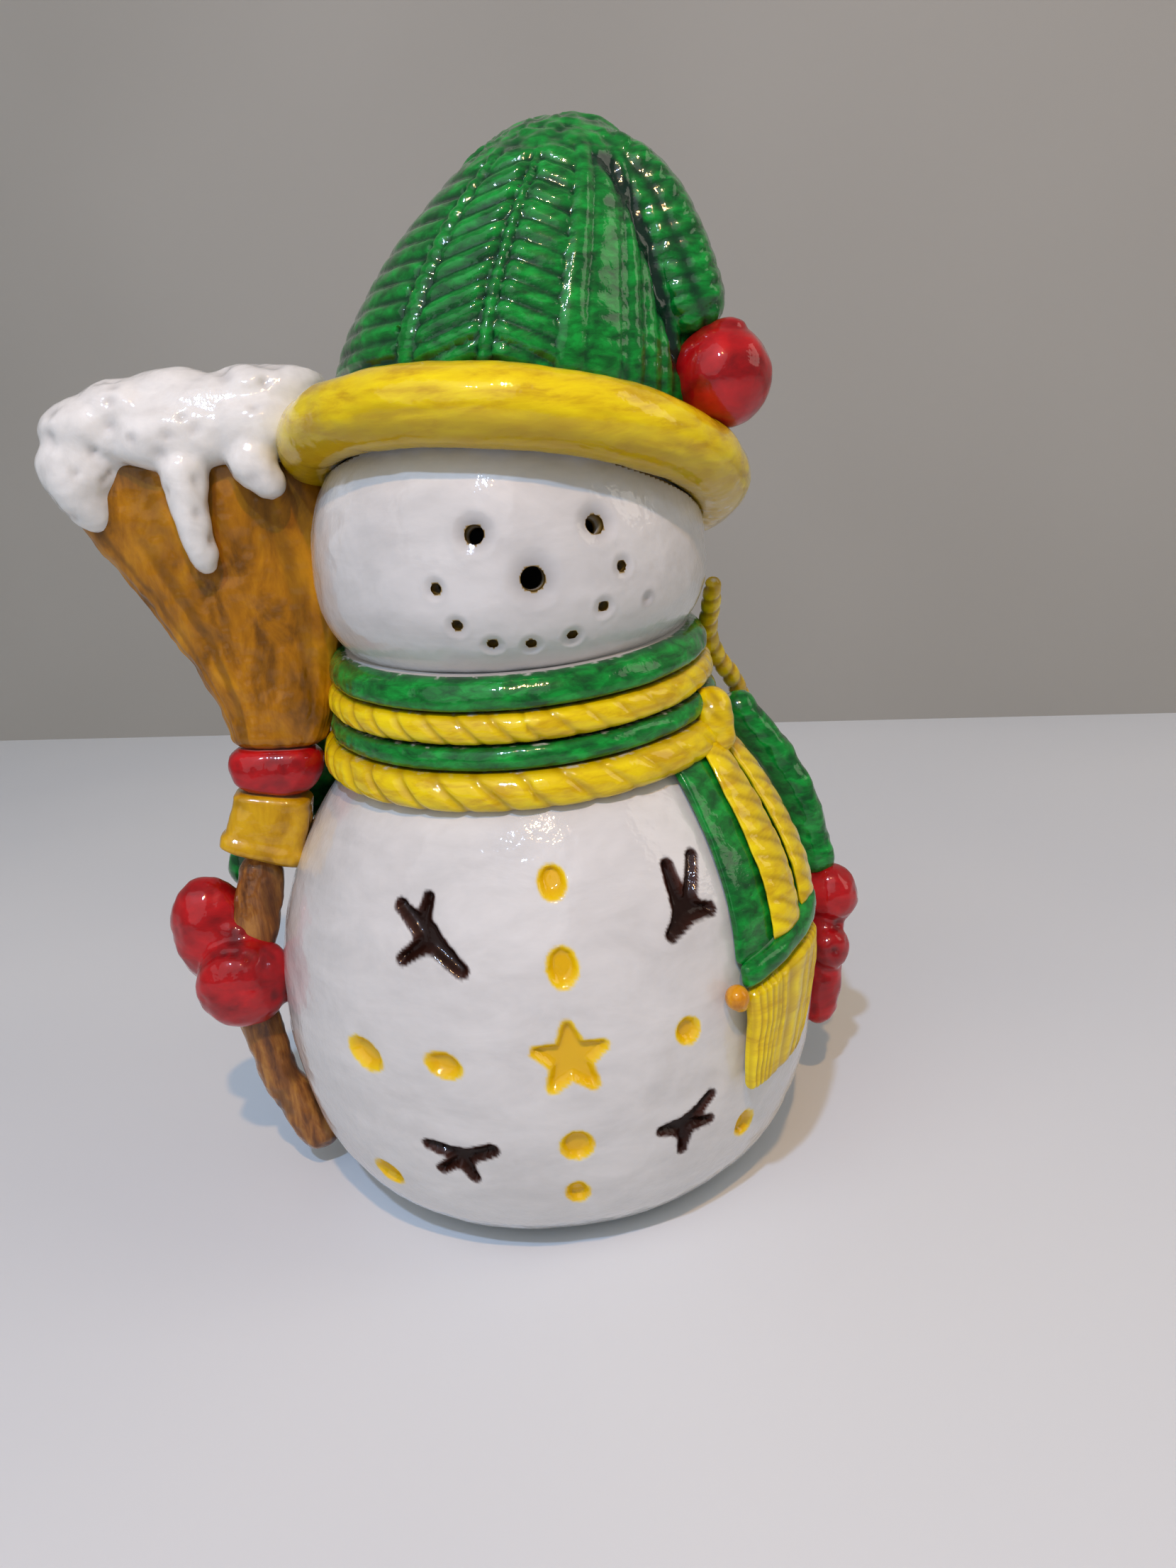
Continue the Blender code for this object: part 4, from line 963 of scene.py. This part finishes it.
# %% The wrap
SCARF_X, SAG = -0.9, 3.0
WRAP_INSIDE, BAND_EDGE = 27.0, 1.2  # the bands' hidden inner radius, and how far their edges turn in
BANDS = [  # piece, node, lower, upper, radius below and above, bulge, twist, strand pitch
    ("scarf_twisted_hem", "scarf_yellow_hem", 77.9, 83.6, 34.3, 33.6, 1.5, 0.38, 6.5),
    ("scarf_flat_band", "scarf_green_band", 83.9, 87.5, 33.2, 32.8, 0.5, 0.0, 0),
    ("scarf_twisted_cord", "scarf_yellow_cord", 87.8, 92.5, 32.2, 31.7, 1.3, 0.26, 5.5),
    ("scarf_chin_roll", "scarf_green_roll", 92.8, 97.8, 32.0, 30.2, 1.2, 0.0, 0),
]


def make_band(seed, name, node, low, high, r_low, r_high, bulge, twist, pitch):
    """A sagging ring round the neck with a bulging outside."""
    middle, half = (low + high) / 2, (high - low) / 2
    turn = np.radians(np.arange(90, -91, -6))
    in_low, in_high = r_low - BAND_EDGE, r_high - BAND_EDGE
    outer = [(in_low + (in_high - in_low) * (math.sin(t) + 1) / 2
              + (BAND_EDGE + bulge) * math.cos(t) ** 0.7, middle + half * math.sin(t))
             for t in turn[1:-1]]
    line = np.array([(WRAP_INSIDE, high), (in_high, high)] + outer
                    + [(in_low, low), (WRAP_INSIDE, low)])
    rows, line, angle = turned_ring(line, 640, 0.36)
    front = 0.5 * (1 + np.cos(angle))
    rows[..., 2] -= SAG * front ** 2
    out = round_axis(1, angle, 0)
    level = ((line[:, 1] - middle) / half)[:, None] + 0 * angle
    shown = ease(line[:, 0], 28.5, 30.5)[:, None] + 0 * angle
    lift = 0.22 * uneven(rows, (12, 12, 5), seed) + 0.08 * uneven(rows, 3.2, seed + 1)
    lift += 0.03 * uneven(rows, 1.4, seed + 2)
    dip = 0 * lift
    if twist:
        worn = 0.35 + 0.65 * (1 - ease(np.sin(angle) * front, -0.1, 0.75))
        slant = 0.42 * level + 0.05 * uneven(rows, 9, seed + 3)
        strand = groove(angle * 33 / pitch + slant, 0.13)
        dip = strand * worn * (1 - 0.3 * np.abs(level))
        lift = lift - 2.0 * twist * dip * shown
    rows = rows + out * (lift * shown)[..., None] + (SCARF_X, 0, 0)
    ragged = 0.10 * uneven(rows, 2.6, seed + 4) + 0.08 * uneven(rows, 0.9, seed + 5)
    cover = 1 - ease(np.abs(level) + ragged, 1.0, 1.12)
    # painted shade: each band darkens towards its edges, where it meets the next, and in its strand
    # grooves
    painted_edge_shade = ease(np.abs(level), 0.62, 1.0) * (0.6 if twist else 0.48)
    item = mesh_of(name, *skin(rows, ring=True))
    give_paint(item, cover * (shown > 0.3), 0, np.clip(0.7 * dip + painted_edge_shade, 0, 1))
    place(item, yellow_paint if "yellow" in node else green_paint, node)


for number, band in enumerate(BANDS):
    make_band(50 + 10 * number, *band)

# %% [markdown]
# ## The scarf's tails
# One tail falls over the front of the figure: a green cloth between two twisted cords, a green
# hem, and a yellow fringe. A second falls behind. Each strip follows the belly's curve, so its
# rows are given as a height, two angles, and how far it stands off the belly.

# %% Strips on the belly
def on_belly(azimuth, z, off):
    """Points standing `off` mm from the belly's surface."""
    r, above, below = (np.interp(z + step, belly_curve[::-1, 1], belly_curve[::-1, 0])
                       for step in (0, 1, -1))
    slope = (above - below) / 2
    off = off / np.hypot(1, slope)
    return round_axis(r + off, np.radians(azimuth), z - off * slope, BELLY_X)


def section(around, half_width, half_depth, power=2.0):
    """A closed rounded section of a given squareness."""
    angle = np.arange(around) / around * math.tau
    c, s = np.cos(angle), np.sin(angle)
    return np.stack([half_width * np.sign(c) * np.abs(c) ** (2 / power),
                     half_depth * np.sign(s) * np.abs(s) ** (2 / power)], 1)


def strip(table, around, power, tilt):
    """A strip's grid. The table's rows are height, two azimuths, inner and outer standing."""
    line = resample(smooth_line(table), 0.4, 1)
    z, start, stop, inner, outer = (line[:, k][:, None] for k in range(5))
    ends = np.minimum(np.arange(len(line)), np.arange(len(line))[::-1])[:, None]
    cap = np.sqrt(np.clip(1 - (1 - np.clip((ends + 0.2) / 3, 0, 1)) ** 2, 0.05, 1))
    s = section(around, 1, 1, power)
    across = 0.5 + 0.5 * s[None, :, 0] * (0.9 + 0.1 * cap)
    rise = 0.5 + 0.5 * s[None, :, 1] * cap
    azimuth = start + (stop - start) * across
    off = inner + (outer - inner) * rise
    top = np.clip(s[None, :, 1], 0, 1) + 0 * azimuth
    return azimuth, z + tilt * (across - 0.5), off, across, top


def make_strip(name, node, table, seed, kind, paint, power, tilt=0.0):
    """A strip of cloth, cord or fringe lying on the belly; tilt drops its near end, in mm."""
    azimuth, z, off, across, top = strip(table, 120 if kind == "fringe" else 72, power, tilt)
    spots = on_belly(azimuth, z, off)
    lift = 0.16 * uneven(spots, 6, seed) + 0.06 * uneven(spots, 2.2, seed + 1)
    dip = 0 * z
    if kind == "cord":
        dip = groove(z / 2.9 + 1.5 * across + 0.08 * uneven(spots, 5, seed + 2), 0.16) * top ** 0.5
        lift = lift - 0.2 * dip + 0.15 * top * (1 - (2 * across - 1) ** 2)
    elif kind == "fringe":
        wander = 0.25 * uneven(spots, (9, 9, 16), seed + 2)
        dip = groove(across * 17.5 + wander, 0.22) * top ** 0.5
        lift = lift - 0.34 * dip
    elif kind == "cloth":
        dip = 0.5 * ease(uneven(spots, (5, 5, 12), seed + 2), 0.1, 0.8)
    spots = on_belly(azimuth, z, off + lift * ease(off, 0.3, 1.6))
    item = mesh_of(name, *skin(spots))
    ragged = 0.05 * uneven(spots, 1.6, seed + 3)
    cover = ease(off + ragged * 4, 0.3, 0.8)
    # painted shade: grooves, and the edges where a strip meets the belly, are darkened
    give_paint(item, cover, 0, np.clip(dip * 0.8 + 0.4 * (1 - cover), 0, 1))
    place(item, paint, node)


# %% The front and back tails
make_strip("tail_cloth", "tail_green_panel", [
    (78.5, 43, 80, 0.3, 2.2), (72, 41, 78, 0.3, 2.2), (66, 40, 76, 0.3, 2.2),
    (58, 38.4, 72, 0.3, 2.2), (47.6, 36.2, 66.4, 0.3, 2.2)], 100, "cloth", green_paint, 5)
make_strip("tail_twisted_cord_front", "tail_cord_inner", [
    (78.5, 57, 67.6, 1.9, 3.9), (72, 51, 63.6, 1.9, 3.9), (66, 49, 61.4, 1.9, 3.9),
    (58, 47.4, 59.2, 1.9, 3.9), (49.0, 45.2, 55.6, 1.9, 3.9)], 110, "cord", yellow_paint, 2)
make_strip("tail_twisted_cord_side", "tail_cord_outer", [
    (78.5, 69.4, 79, 1.9, 3.9), (72, 65.8, 77, 1.9, 3.9), (66, 63.6, 75, 1.9, 3.9),
    (58, 61.0, 71.4, 1.9, 3.9), (50.4, 58.0, 66.6, 1.9, 3.9)], 120, "cord", yellow_paint, 2)
make_strip("tail_green_hem", "tail_hem", [
    (49.8, 36, 67.6, 0.3, 4.1), (47.9, 36, 66.4, 0.3, 4.5), (45.9, 36, 65.0, 0.3, 4.1)],
    130, "cloth", green_paint, 3, 4.0)
make_strip("tail_fringe_tassels", "tail_fringe", [
    (45.2, 36.5, 63, 0.3, 4.4), (40, 36, 59, 0.3, 4.2), (34, 35, 54, 0.3, 4.0),
    (29, 35, 49.5, 0.3, 3.8)], 140, "fringe", yellow_paint, 3.5, 3.2)
make_strip("back_tail_cloth", "back_tail_panel", [
    (77.5, 108, 134, 0.3, 2.6), (72, 112, 137, 0.3, 2.6), (64.5, 116, 140, 0.3, 2.6),
    (57, 119, 142, 0.3, 2.6), (51, 120, 143, 0.3, 2.6)], 150, "cloth", green_paint, 4)
make_strip("back_tail_fringe_tassels", "back_tail_fringe", [
    (50.7, 118, 144, 0.3, 3.4), (44, 119, 144, 0.3, 3.2), (38, 121, 143, 0.3, 2.8)],
    160, "fringe", yellow_paint, 3.5)


def make_tube(name, node, path, radii, seed, paint, lumps, flat=1.0, twist=0):
    """A lumpy tube along a path; twist adds rope strands at that pitch in mm."""
    rows, along, angle = tube_rows(path, radii, 0.5, 72, flat)
    out = unit(rows - rows.mean(1)[:, None])
    lift = lumps * uneven(rows, 7, seed) + 0.4 * lumps * uneven(rows, 2.4, seed + 1)
    dip = 0 * lift
    if twist:
        dip = groove(along[:, None] / twist + angle[None, :] / math.tau, 0.16)
        lift = lift - 0.3 * dip
    fade = ease(np.minimum(along, along[-1] - along), 0, 1.5)[:, None]
    item = mesh_of(name, *skin(rows + out * (lift * fade)[..., None]))
    # painted shade and pooled paint: strand grooves and low lumps are darkened
    pooled_and_shaded = np.clip(0.8 * dip + (1 - ease(lift, -lumps * 0.7, 0)) * 0.4, 0, 1)
    give_paint(item, 1, 0, pooled_and_shaded)
    place(item, paint, node)


make_tube("back_tail_twisted_cord", "back_tail_cord", [
    (33.2, -3.5, 102.5), (33.3, 1.5, 97.5), (33.4, 6, 92), (35.2, 9, 87), (39, 12.8, 81),
    (41.2, 16.6, 74), (41.2, 20.2, 64.5), (41.8, 23.8, 56), (41.5, 25.0, 51.5)],
    [1.4, 1.7, 1.8, 1.8, 1.8, 1.8, 1.8, 1.8, 1.5], 170, yellow_paint, 0.1, 1.0, 3.4)

# %% Knots of the scarf
knot_at = round_axis(33.4, math.radians(66), 81.4, SCARF_X)
knot = fused("scarf_fold_knot", [ball(knot_at, (3.9, 5.1, 5.2)),
                                 ball(knot_at + (1.2, -1.6, -3.0), (2.6, 3.2, 3.0))], 0.4, 5)
spots, out = read_points(knot)
lift = 0.3 * uneven(spots, 5, 181) - 0.14 * groove((spots[:, 2] + spots[:, 0]) / 3.4, 0.2)
move_points(knot, spots + out * lift[:, None])
# painted shade: the knot's folds and low places are darkened
give_paint(knot, 1, 0, 1 - ease(lift, -0.4, 0.0))
place(knot, yellow_paint, "scarf_knot")

bead_at = on_belly(33.4, 43.8, 2.6)
bead = fused("tail_end_knot", [ball(bead_at, (1.9, 2.1, 2.0)),
                               ball(bead_at + (0.4, 0.2, -1.2), (1.4, 1.6, 1.2))], 0.25, 4)
give_paint(bead, np.ones(len(bead.data.vertices)), 0, 0)
place(bead, amber_paint, "tail_knot")

# %% [markdown]
# ## Arms and mittens
# Thin green sleeves end in red mittens. One hand hangs at the figure's side, and the other
# closes round the broom. The mittens are fused lumps, because the real ones are soft shapes
# with creases where fingers meet the thumb, and no outline could be turned or drawn out.

# %% Sleeves
make_tube("sleeve_by_tail", "sleeve_tail_side", [
    (36.4, 6, 80), (40.2, 6.5, 74.5), (45.2, 6, 67), (48.8, 5, 59), (50.6, 4, 51), (52.0, 2.5, 44.5)],
    [3.3, 3.5, 3.5, 3.5, 3.4, 3.2], 200, green_paint, 0.35)
make_tube("sleeve_by_broom", "sleeve_broom_side", [
    (-35.5, 9, 79), (-41.5, 9, 73), (-47.5, 8, 66), (-52.5, 5.5, 59.5), (-56.0, 2, 55.0)],
    [5.2, 5.4, 5.2, 4.8, 4.2], 210, green_paint, 0.35)


# %% Mittens
def make_mitten(name, node, parts, creases, seed):
    """creases: points and radii of dimples pressed between the lobes."""
    item = fused(name, parts, 0.5, 5)
    spots, out = read_points(item)
    lift = 0.26 * uneven(spots, 7, seed) + 0.16 * uneven(spots, 3.0, seed + 1)
    dip = 1 - ease(lift, -0.34, -0.1)
    for place_at, size, deep in creases:
        press = np.exp(-(np.linalg.norm(spots - place_at, axis=1) / size) ** 2)
        lift -= deep * press
        dip = np.maximum(dip, press)
    move_points(item, spots + out * lift[:, None])
    # painted shade: the creases between the lobes and the low lumps are darkened
    give_paint(item, 1, 0, np.clip(dip, 0, 1) * 0.7)
    place(item, red_paint, node)


fingers, _, _ = tube_rows([(52.4, 1.5, 38), (51.2, 0.8, 28), (50.4, 0.0, 22), (49.4, -0.6, 14.8)],
                          [3.6, 3.8, 3.8, 2.6], 0.8, 36)
make_mitten("mitten_hanging", "mitten_tail_side", [
    ball((53.2, 2.0, 40.4), (5.4, 5.2, 5.8)), ball((51.8, -1.2, 31.0), (4.1, 4.1, 4.4)),
    skin(fingers)], [((52.0, -5.2, 31.6), 0.7, 0.9), ((53.5, -1.8, 35.4), 1.4, 0.6)], 220)
make_mitten("mitten_gripping", "mitten_broom_side", [
    ball((-60.4, -3.5, 48.6), (7.4, 6.0, 10.4), (0, -6, 0)),
    ball((-55.6, -10.2, 41.0), (8.0, 5.2, 8.0), (0, 12, 0)),
    ball((-50.8, -8.4, 41.6), (4.2, 3.6, 6.2), (0, -14, 0)),
    ball((-55.0, -6.6, 49.2), (4.8, 3.0, 2.2), (0, 34, 0))],
    [((x, -12.2, z), 1.25, 0.7)
     for x, z in ((-61.6, 47.2), (-59.6, 48.2), (-57.4, 48.4), (-55.2, 47.8), (-53.2, 46.6))]
    + [((-50.6, -12.0, 45.0), 1.1, 0.5), ((-51.6, -13.0, 42.4), 1.2, 0.35)], 230)

# %% [markdown]
# ## The broom
# A stiff bundle of bristles stands upside down, with a red binding, a boxy gold ferrule and a
# gnarled handle. Each part is a stack of rounded, slightly squared sections. The bristles are
# only hinted at by shallow furrows and by the paint's long streaks.

# %% Broom parts
def stack_rows(table, spacing=0.5, around=120, power=2.6):
    """Rows of rounded sections: centre x, y, z, half width, half depth, roll in degrees."""
    line = resample(smooth_line(table, 8), spacing, 3)
    rows = []
    for x, y, z, wide, deep, roll in line:
        s = section(around, wide, deep, power)
        rows.append(np.stack([x + s[:, 0], y + s[:, 1],
                              z + s[:, 0] * math.tan(math.radians(roll))], 1))
    rows = np.array(rows)
    from_end = np.minimum(np.arange(len(rows)), np.arange(len(rows))[::-1])
    cap = 1 - 0.16 * (1 - np.clip(from_end / 3, 0, 1)) ** 2
    middle = rows.mean(1)[:, None]
    return middle + (rows - middle) * cap[:, None, None]


def make_stack(name, node, table, seed, paint, lumps, furrow=0.0, power=2.6, spacing=0.5):
    """A piece from stacked sections; furrow is the depth of bristle furrows along it."""
    rows = stack_rows(table, spacing, 240 if furrow else 140, power)
    out = unit(rows - rows.mean(1)[:, None])
    lift = lumps * uneven(rows, 8, seed) + 0.5 * lumps * uneven(rows, 2.6, seed + 1)
    dip = 1 - ease(lift, -lumps, -0.1 * lumps)
    if furrow:
        share = np.arange(rows.shape[1])[None] / rows.shape[1] + 0 * rows[..., 0]
        strands = np.stack([share * 46, rows[..., 2] / 26, 0 * share], -1)
        lift += furrow * (uneven(strands, 2.0, seed + 2) + 0.5 * uneven(strands, 1.0, seed + 3))
        dip = np.maximum(dip * 0.4, 0.8 * (1 - ease(uneven(strands, 2.0, seed + 2), -0.6, 0.1)))
    item = mesh_of(name, *skin(rows + out * lift[..., None]))
    # painted shade: bristle furrows and low lumps are darkened
    give_paint(item, 1, 0, 0.6 * dip)
    place(item, paint, node)


BRISTLES = [  # x, y, z, half width, half depth, roll in degrees
    (-44.2, -0.5, 81.2, 7.8, 4.4, -4), (-43.6, 1.0, 90, 10.6, 5.2, -4),
    (-45.0, 2.6, 101, 14.6, 6.0, -3), (-47.6, 3.6, 112, 18.8, 6.6, -3),
    (-50.4, 4.0, 121, 21.2, 7.0, -3), (-52.4, 4.2, 130, 21.2, 6.6, -3)]
HANDLE = [  # x, y, z
    (-49.4, -3.2, 62.4), (-51.6, -4.6, 54), (-54.6, -6.2, 42), (-54.4, -6.6, 30),
    (-51.6, -6.4, 17), (-46.0, -6.0, 4.6)]
make_stack("broom_bristle_bundle", "broom_bristles", BRISTLES, 240, ochre_paint, 0.35, 0.16)
make_stack("broom_red_binding", "broom_binding", [
    (-44.6, -1.0, 80.9, 7.6, 4.8, -5), (-45.2, -1.3, 77.5, 8.1, 5.4, -7),
    (-46.0, -1.8, 73.6, 6.6, 4.9, -10)], 250, red_paint, 0.25)
make_stack("broom_gold_ferrule", "broom_ferrule", [
    (-46.1, -2.0, 73.1, 6.4, 4.6, -11), (-47.1, -2.4, 68.8, 6.6, 4.8, -15),
    (-48.2, -2.8, 65.6, 6.5, 4.8, -19), (-48.6, -3.0, 64.6, 7.0, 5.2, -20),
    (-48.9, -3.1, 63.4, 7.2, 5.4, -20), (-49.1, -3.2, 62.2, 7.0, 5.2, -21)],
    260, gold_paint, 0.2, 0, 4.5, 0.3)
make_tube("broom_gnarled_handle", "broom_handle", HANDLE, [3.9, 4.0, 3.8, 3.5, 3.5, 3.8], 270,
          brown_paint, 0.4, 0.9)

# %% [markdown]
# ## Snow on the broom
# A cap of snow lies on the bristles and runs down them in drips. It is fused from a long
# mound, lumps and drips, then dimpled all over with a blunt tool.

# %% The snow
SNOW = [  # x, y, z, half width, half depth, roll in degrees
    (-51.4, 3.6, 128.8, 20.2, 7.4, -4), (-51.0, 3.6, 131.2, 22.4, 9.0, -3),
    (-50.4, 3.8, 135.0, 23.2, 9.4, 0), (-49.4, 3.8, 138.6, 22.0, 8.4, 2),
    (-47.6, 3.8, 141.4, 18.4, 6.4, 3), (-46.4, 3.8, 142.6, 12.6, 3.0, 3)]
DRIPS = [  # path, radii
    ([(-50.8, -3.6, 131), (-51.0, -5.0, 123), (-50.2, -5.2, 116), (-49.4, -4.6, 111.5)],
     [4.4, 3.4, 2.7, 1.9]),
    ([(-42.0, -3.4, 131.5), (-38.8, -4.8, 126.5), (-36.0, -5.0, 122.6)], [4.4, 3.4, 2.4]),
    ([(-68.0, 1.5, 134.5), (-68.6, 0.5, 127.5), (-66.2, 0, 119.5)], [6.4, 5.8, 2.4])]
HUMPS = [  # centre, radii
         ((-53.0, 2.5, 139.4), (9.5, 6.0, 4.6)), ((-39.6, 2.5, 139.6), (7.5, 6.5, 4.0)),
         ((-60.0, 2.2, 137.6), (8.6, 7.2, 5.6)), ((-65.4, 1.6, 135.4), (8.6, 7.2, 5.6)),
         ((-51.0, -2.6, 133.0), (12.0, 4.6, 5.4)), ((-40.0, -2.6, 133.4), (9.0, 4.4, 5.0)),
         ((-68.0, 1.2, 130.0), (7.4, 6.6, 6.4))]
parts = [skin(stack_rows(SNOW, 1.0, 72))]
parts += [skin(tube_rows(path, radii, 0.8, 36)[0]) for path, radii in DRIPS]
parts += [ball(centre, radii) for centre, radii in HUMPS]
snow = fused("broom_snow_cap", parts, 0.55, 14)
spots, out = read_points(snow)
DIMPLES, DIMPLE_DEPTH = 110, 0.55
rng = np.random.default_rng(7)
lift = 0.35 * uneven(spots, 14, 281) + 0.14 * uneven(spots, 5, 282) + 0.06 * uneven(spots, 2, 283)
dip = np.zeros(len(spots))
for pick in rng.choice(len(spots), DIMPLES, replace=False):
    size = rng.uniform(0.7, 1.3)
    press = np.exp(-(np.linalg.norm(spots - spots[pick], axis=1) / size) ** 2)
    lift -= DIMPLE_DEPTH * press * rng.uniform(0.5, 1.0)
    dip = np.maximum(dip, press * 0.8)
move_points(snow, spots + out * lift[:, None])
# painted shade: the dimples are greyed as if shaded inside
give_paint(snow, 0, 0, dip * 0.5)
place(snow, snow_paint, "broom_snow")

# %% [markdown]
# ## The tea light inside
# A battery tea light stands on the floor of the hollow. Its parts are moulded polypropylene, a
# translucent flame, and nickel-plated steel, so they get plain moulded finishes: a fine
# texture, soft gloss and little else.

# %% Tea light finishes
def moulded(name, shade, second, roughness, grain, subsurface=0.0, clear=0.0, metallic=0.0):
    """A finish with a fine even texture, its grain in mm."""
    material, tree = new_tree(name)
    blotch = marks(tree, (6, 6, 6), detail=3)
    texture = marks(tree, (grain, grain, grain), detail=3)
    bump = add_node(tree, "ShaderNodeBump", {
        "Height": texture, "Distance": 0.02 * MM, "Strength": 0.4})
    shader = add_node(tree, "ShaderNodeBsdfPrincipled", {
        "Base Color": ramp(tree, blotch, (0.35, shade), (0.65, second)), "Roughness": roughness,
        "Metallic": metallic, "Subsurface Weight": subsurface, "Subsurface Scale": 2 * MM,
        "Transmission Weight": clear, "Normal": bump.outputs[0]})
    add_node(tree, "ShaderNodeOutputMaterial", {"Surface": shader.outputs[0]})
    return material


white_case = moulded("white_polypropylene_moulded", "#E6E4DC", "#EFEDE6", 0.35, 0.5, 0.1)
flame_skin = moulded("translucent_silicone_flame", "#E8C98A", "#F2DCA8", 0.3, 0.8, 0.4)
led_lens = moulded("warm_led_epoxy", "#F0E6C0", "#F6EFD2", 0.12, 0.6, 0.1, 0.4)
board = moulded("circuit_board_laminate", "#1E5A34", "#2A6E42", 0.45, 0.35)
plated = moulded("nickel_plated_steel", "#B8B5AE", "#C9C6BF", 0.24, 0.4, metallic=1.0)
black_knob = moulded("black_abs_moulded", "#141414", "#1E1E1E", 0.4, 0.3)
FINISH = {
    "case": white_case, "battery_door": white_case, "wax_top": white_case, "flame": flame_skin,
    "led": led_lens, "board": board, "battery": plated, "contact_top": plated,
    "contact_side": plated, "switch": black_knob}
for name, material in FINISH.items():
    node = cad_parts["tealight_" + name]
    node.data.materials.clear()
    node.data.materials.append(material)
print("tea light parts:", len(FINISH))

# %% [markdown]
# ## Floor, wall, lights and camera
# The figure stands on a pale table before a plain wall. Two lamps overhead, one cool and one
# warm, give each glossy bump a pair of small highlights, and the wide soft light of the room
# fills the shadows. The camera looks slightly down from close by, which is why the belly's
# foot narrows so much.

# %% Floor and wall
def plain(name, shade, second, roughness, one_sided=False):
    """A matt finish with a faint cloudiness; one-sided, it is clear from behind."""
    material, tree = new_tree(name)
    cloud = marks(tree, (220, 220, 220), detail=2)
    shade = ramp(tree, cloud, (0.3, shade), (0.7, second))
    shader = add_node(tree, "ShaderNodeBsdfPrincipled", {
        "Base Color": shade, "Roughness": roughness}).outputs[0]
    if one_sided:
        side = add_node(tree, "ShaderNodeNewGeometry").outputs["Backfacing"]
        clear = add_node(tree, "ShaderNodeBsdfTransparent").outputs[0]
        shader = add_node(tree, "ShaderNodeMixShader", {0: side, 1: shader, 2: clear}).outputs[0]
    add_node(tree, "ShaderNodeOutputMaterial", {"Surface": shader})
    return material


def sheet(name, corners, material):
    """A flat piece of the stage, through its corners."""
    mesh = bpy.data.meshes.new(name)
    mesh.from_pydata([tuple(c) for c in corners], [], [range(len(corners))])
    item = bpy.data.objects.new(name, mesh)
    item.data.materials.append(material)
    bpy.context.scene.collection.objects.link(item)


table_top = plain("matt_white_laminate_table", "#D9DEE2", "#E0E4E6", 0.55)
wall_paint = plain("warm_grey_wall_paint", "#A5A39C", "#ACAAA3", 0.9, one_sided=True)
foot_level = cad_box[0][2]
TABLE_LEFT, TABLE_NEAR, TABLE_RIGHT, TABLE_FAR = -1.6, -1.2, 1.6, 1.6
sheet("table", [(x, y, foot_level) for x, y in (
    (TABLE_LEFT, TABLE_NEAR), (TABLE_RIGHT, TABLE_NEAR),
    (TABLE_RIGHT, TABLE_FAR), (TABLE_LEFT, TABLE_FAR))], table_top)
WALL_MORE, WALL_TOP = 0.9, 0.9  # how far the wall runs on past its two set points, and its height
WALL_LEFT, WALL_RIGHT = Vector((-0.284, 0.420, 0)), Vector((0.263, 0.237, 0))
along = (WALL_RIGHT - WALL_LEFT).normalized()
near, far = WALL_LEFT - along * WALL_MORE, WALL_RIGHT + along * WALL_MORE
base, top = Vector((0, 0, foot_level)), Vector((0, 0, WALL_TOP))
sheet("wall", [near + base, far + base, far + top, near + top], wall_paint)


# %% Lights
VIEW_GAMMA = 0.92  # a touch more contrast than the plain view
LAMP_AIM = Vector((0, 0, 0.09))
LAMPS = [  # name, place in metres, size in metres, watts, colour
    ("cool_ceiling_lamp", (-0.13, -0.52, 0.74), 0.034, 3.0, "#BCD6FF"),
    ("warm_ceiling_lamp", (0.03, -0.50, 0.78), 0.028, 2.6, "#FFC88A"),
    ("room_soft_light", (-0.6, -1.0, 1.0), 1.9, 6.4, "#EEF4FA"),
    ("window_light", (1.0, -0.1, 0.7), 0.8, 2.6, "#FFF4E6"),
]
ROOM_SHADE, ROOM_STRENGTH = "#E8EBEC", 0.32


def lamp(name, at, size, power, shade):
    """A round area light aimed at the middle of the figure."""
    data = bpy.data.lights.new(name, "AREA")
    data.shape, data.size, data.energy = "DISK", size, power
    data.color = colour(shade)[:3]
    item = bpy.data.objects.new(name, data)
    item.location = at
    item.rotation_euler = (LAMP_AIM - Vector(at)).to_track_quat("-Z", "Y").to_euler()
    bpy.context.scene.collection.objects.link(item)


for row in LAMPS:
    lamp(*row)
world = bpy.data.worlds.new("soft_room")
bpy.context.scene.world = world
world.use_nodes = True
room = world.node_tree.nodes["Background"].inputs
room["Color"].default_value, room["Strength"].default_value = colour(ROOM_SHADE), ROOM_STRENGTH
bpy.context.scene.view_settings.view_transform = "Standard"
bpy.context.scene.view_settings.gamma = VIEW_GAMMA
print("lamps:", ", ".join(row[0] for row in LAMPS))

# %% Camera
SENSOR, LENS, NEAREST = 36.0, 26.04, 0.01  # mm, mm, metres
CAMERA_AT = (0.0001, -0.196, 0.127)
pitch, roll, yaw = math.radians(16.8), math.radians(-5.2), math.radians(2.9)
forward = Vector((math.sin(yaw) * math.cos(pitch), math.cos(yaw) * math.cos(pitch),
                  -math.sin(pitch)))
level_right = Vector((math.cos(yaw), -math.sin(yaw), 0))
level_up = level_right.cross(forward)
right = math.cos(roll) * level_right + math.sin(roll) * level_up
up = math.cos(roll) * level_up - math.sin(roll) * level_right
data = bpy.data.cameras.new("camera")
data.sensor_width, data.lens, data.clip_start = SENSOR, LENS, NEAREST
camera = bpy.data.objects.new("camera", data)
camera.matrix_world = Matrix((right, up, -forward)).transposed().to_4x4()
camera.location = CAMERA_AT
bpy.context.scene.collection.objects.link(camera)
bpy.context.scene.camera = camera
print("camera looks down by", round(math.degrees(pitch), 1), "degrees")
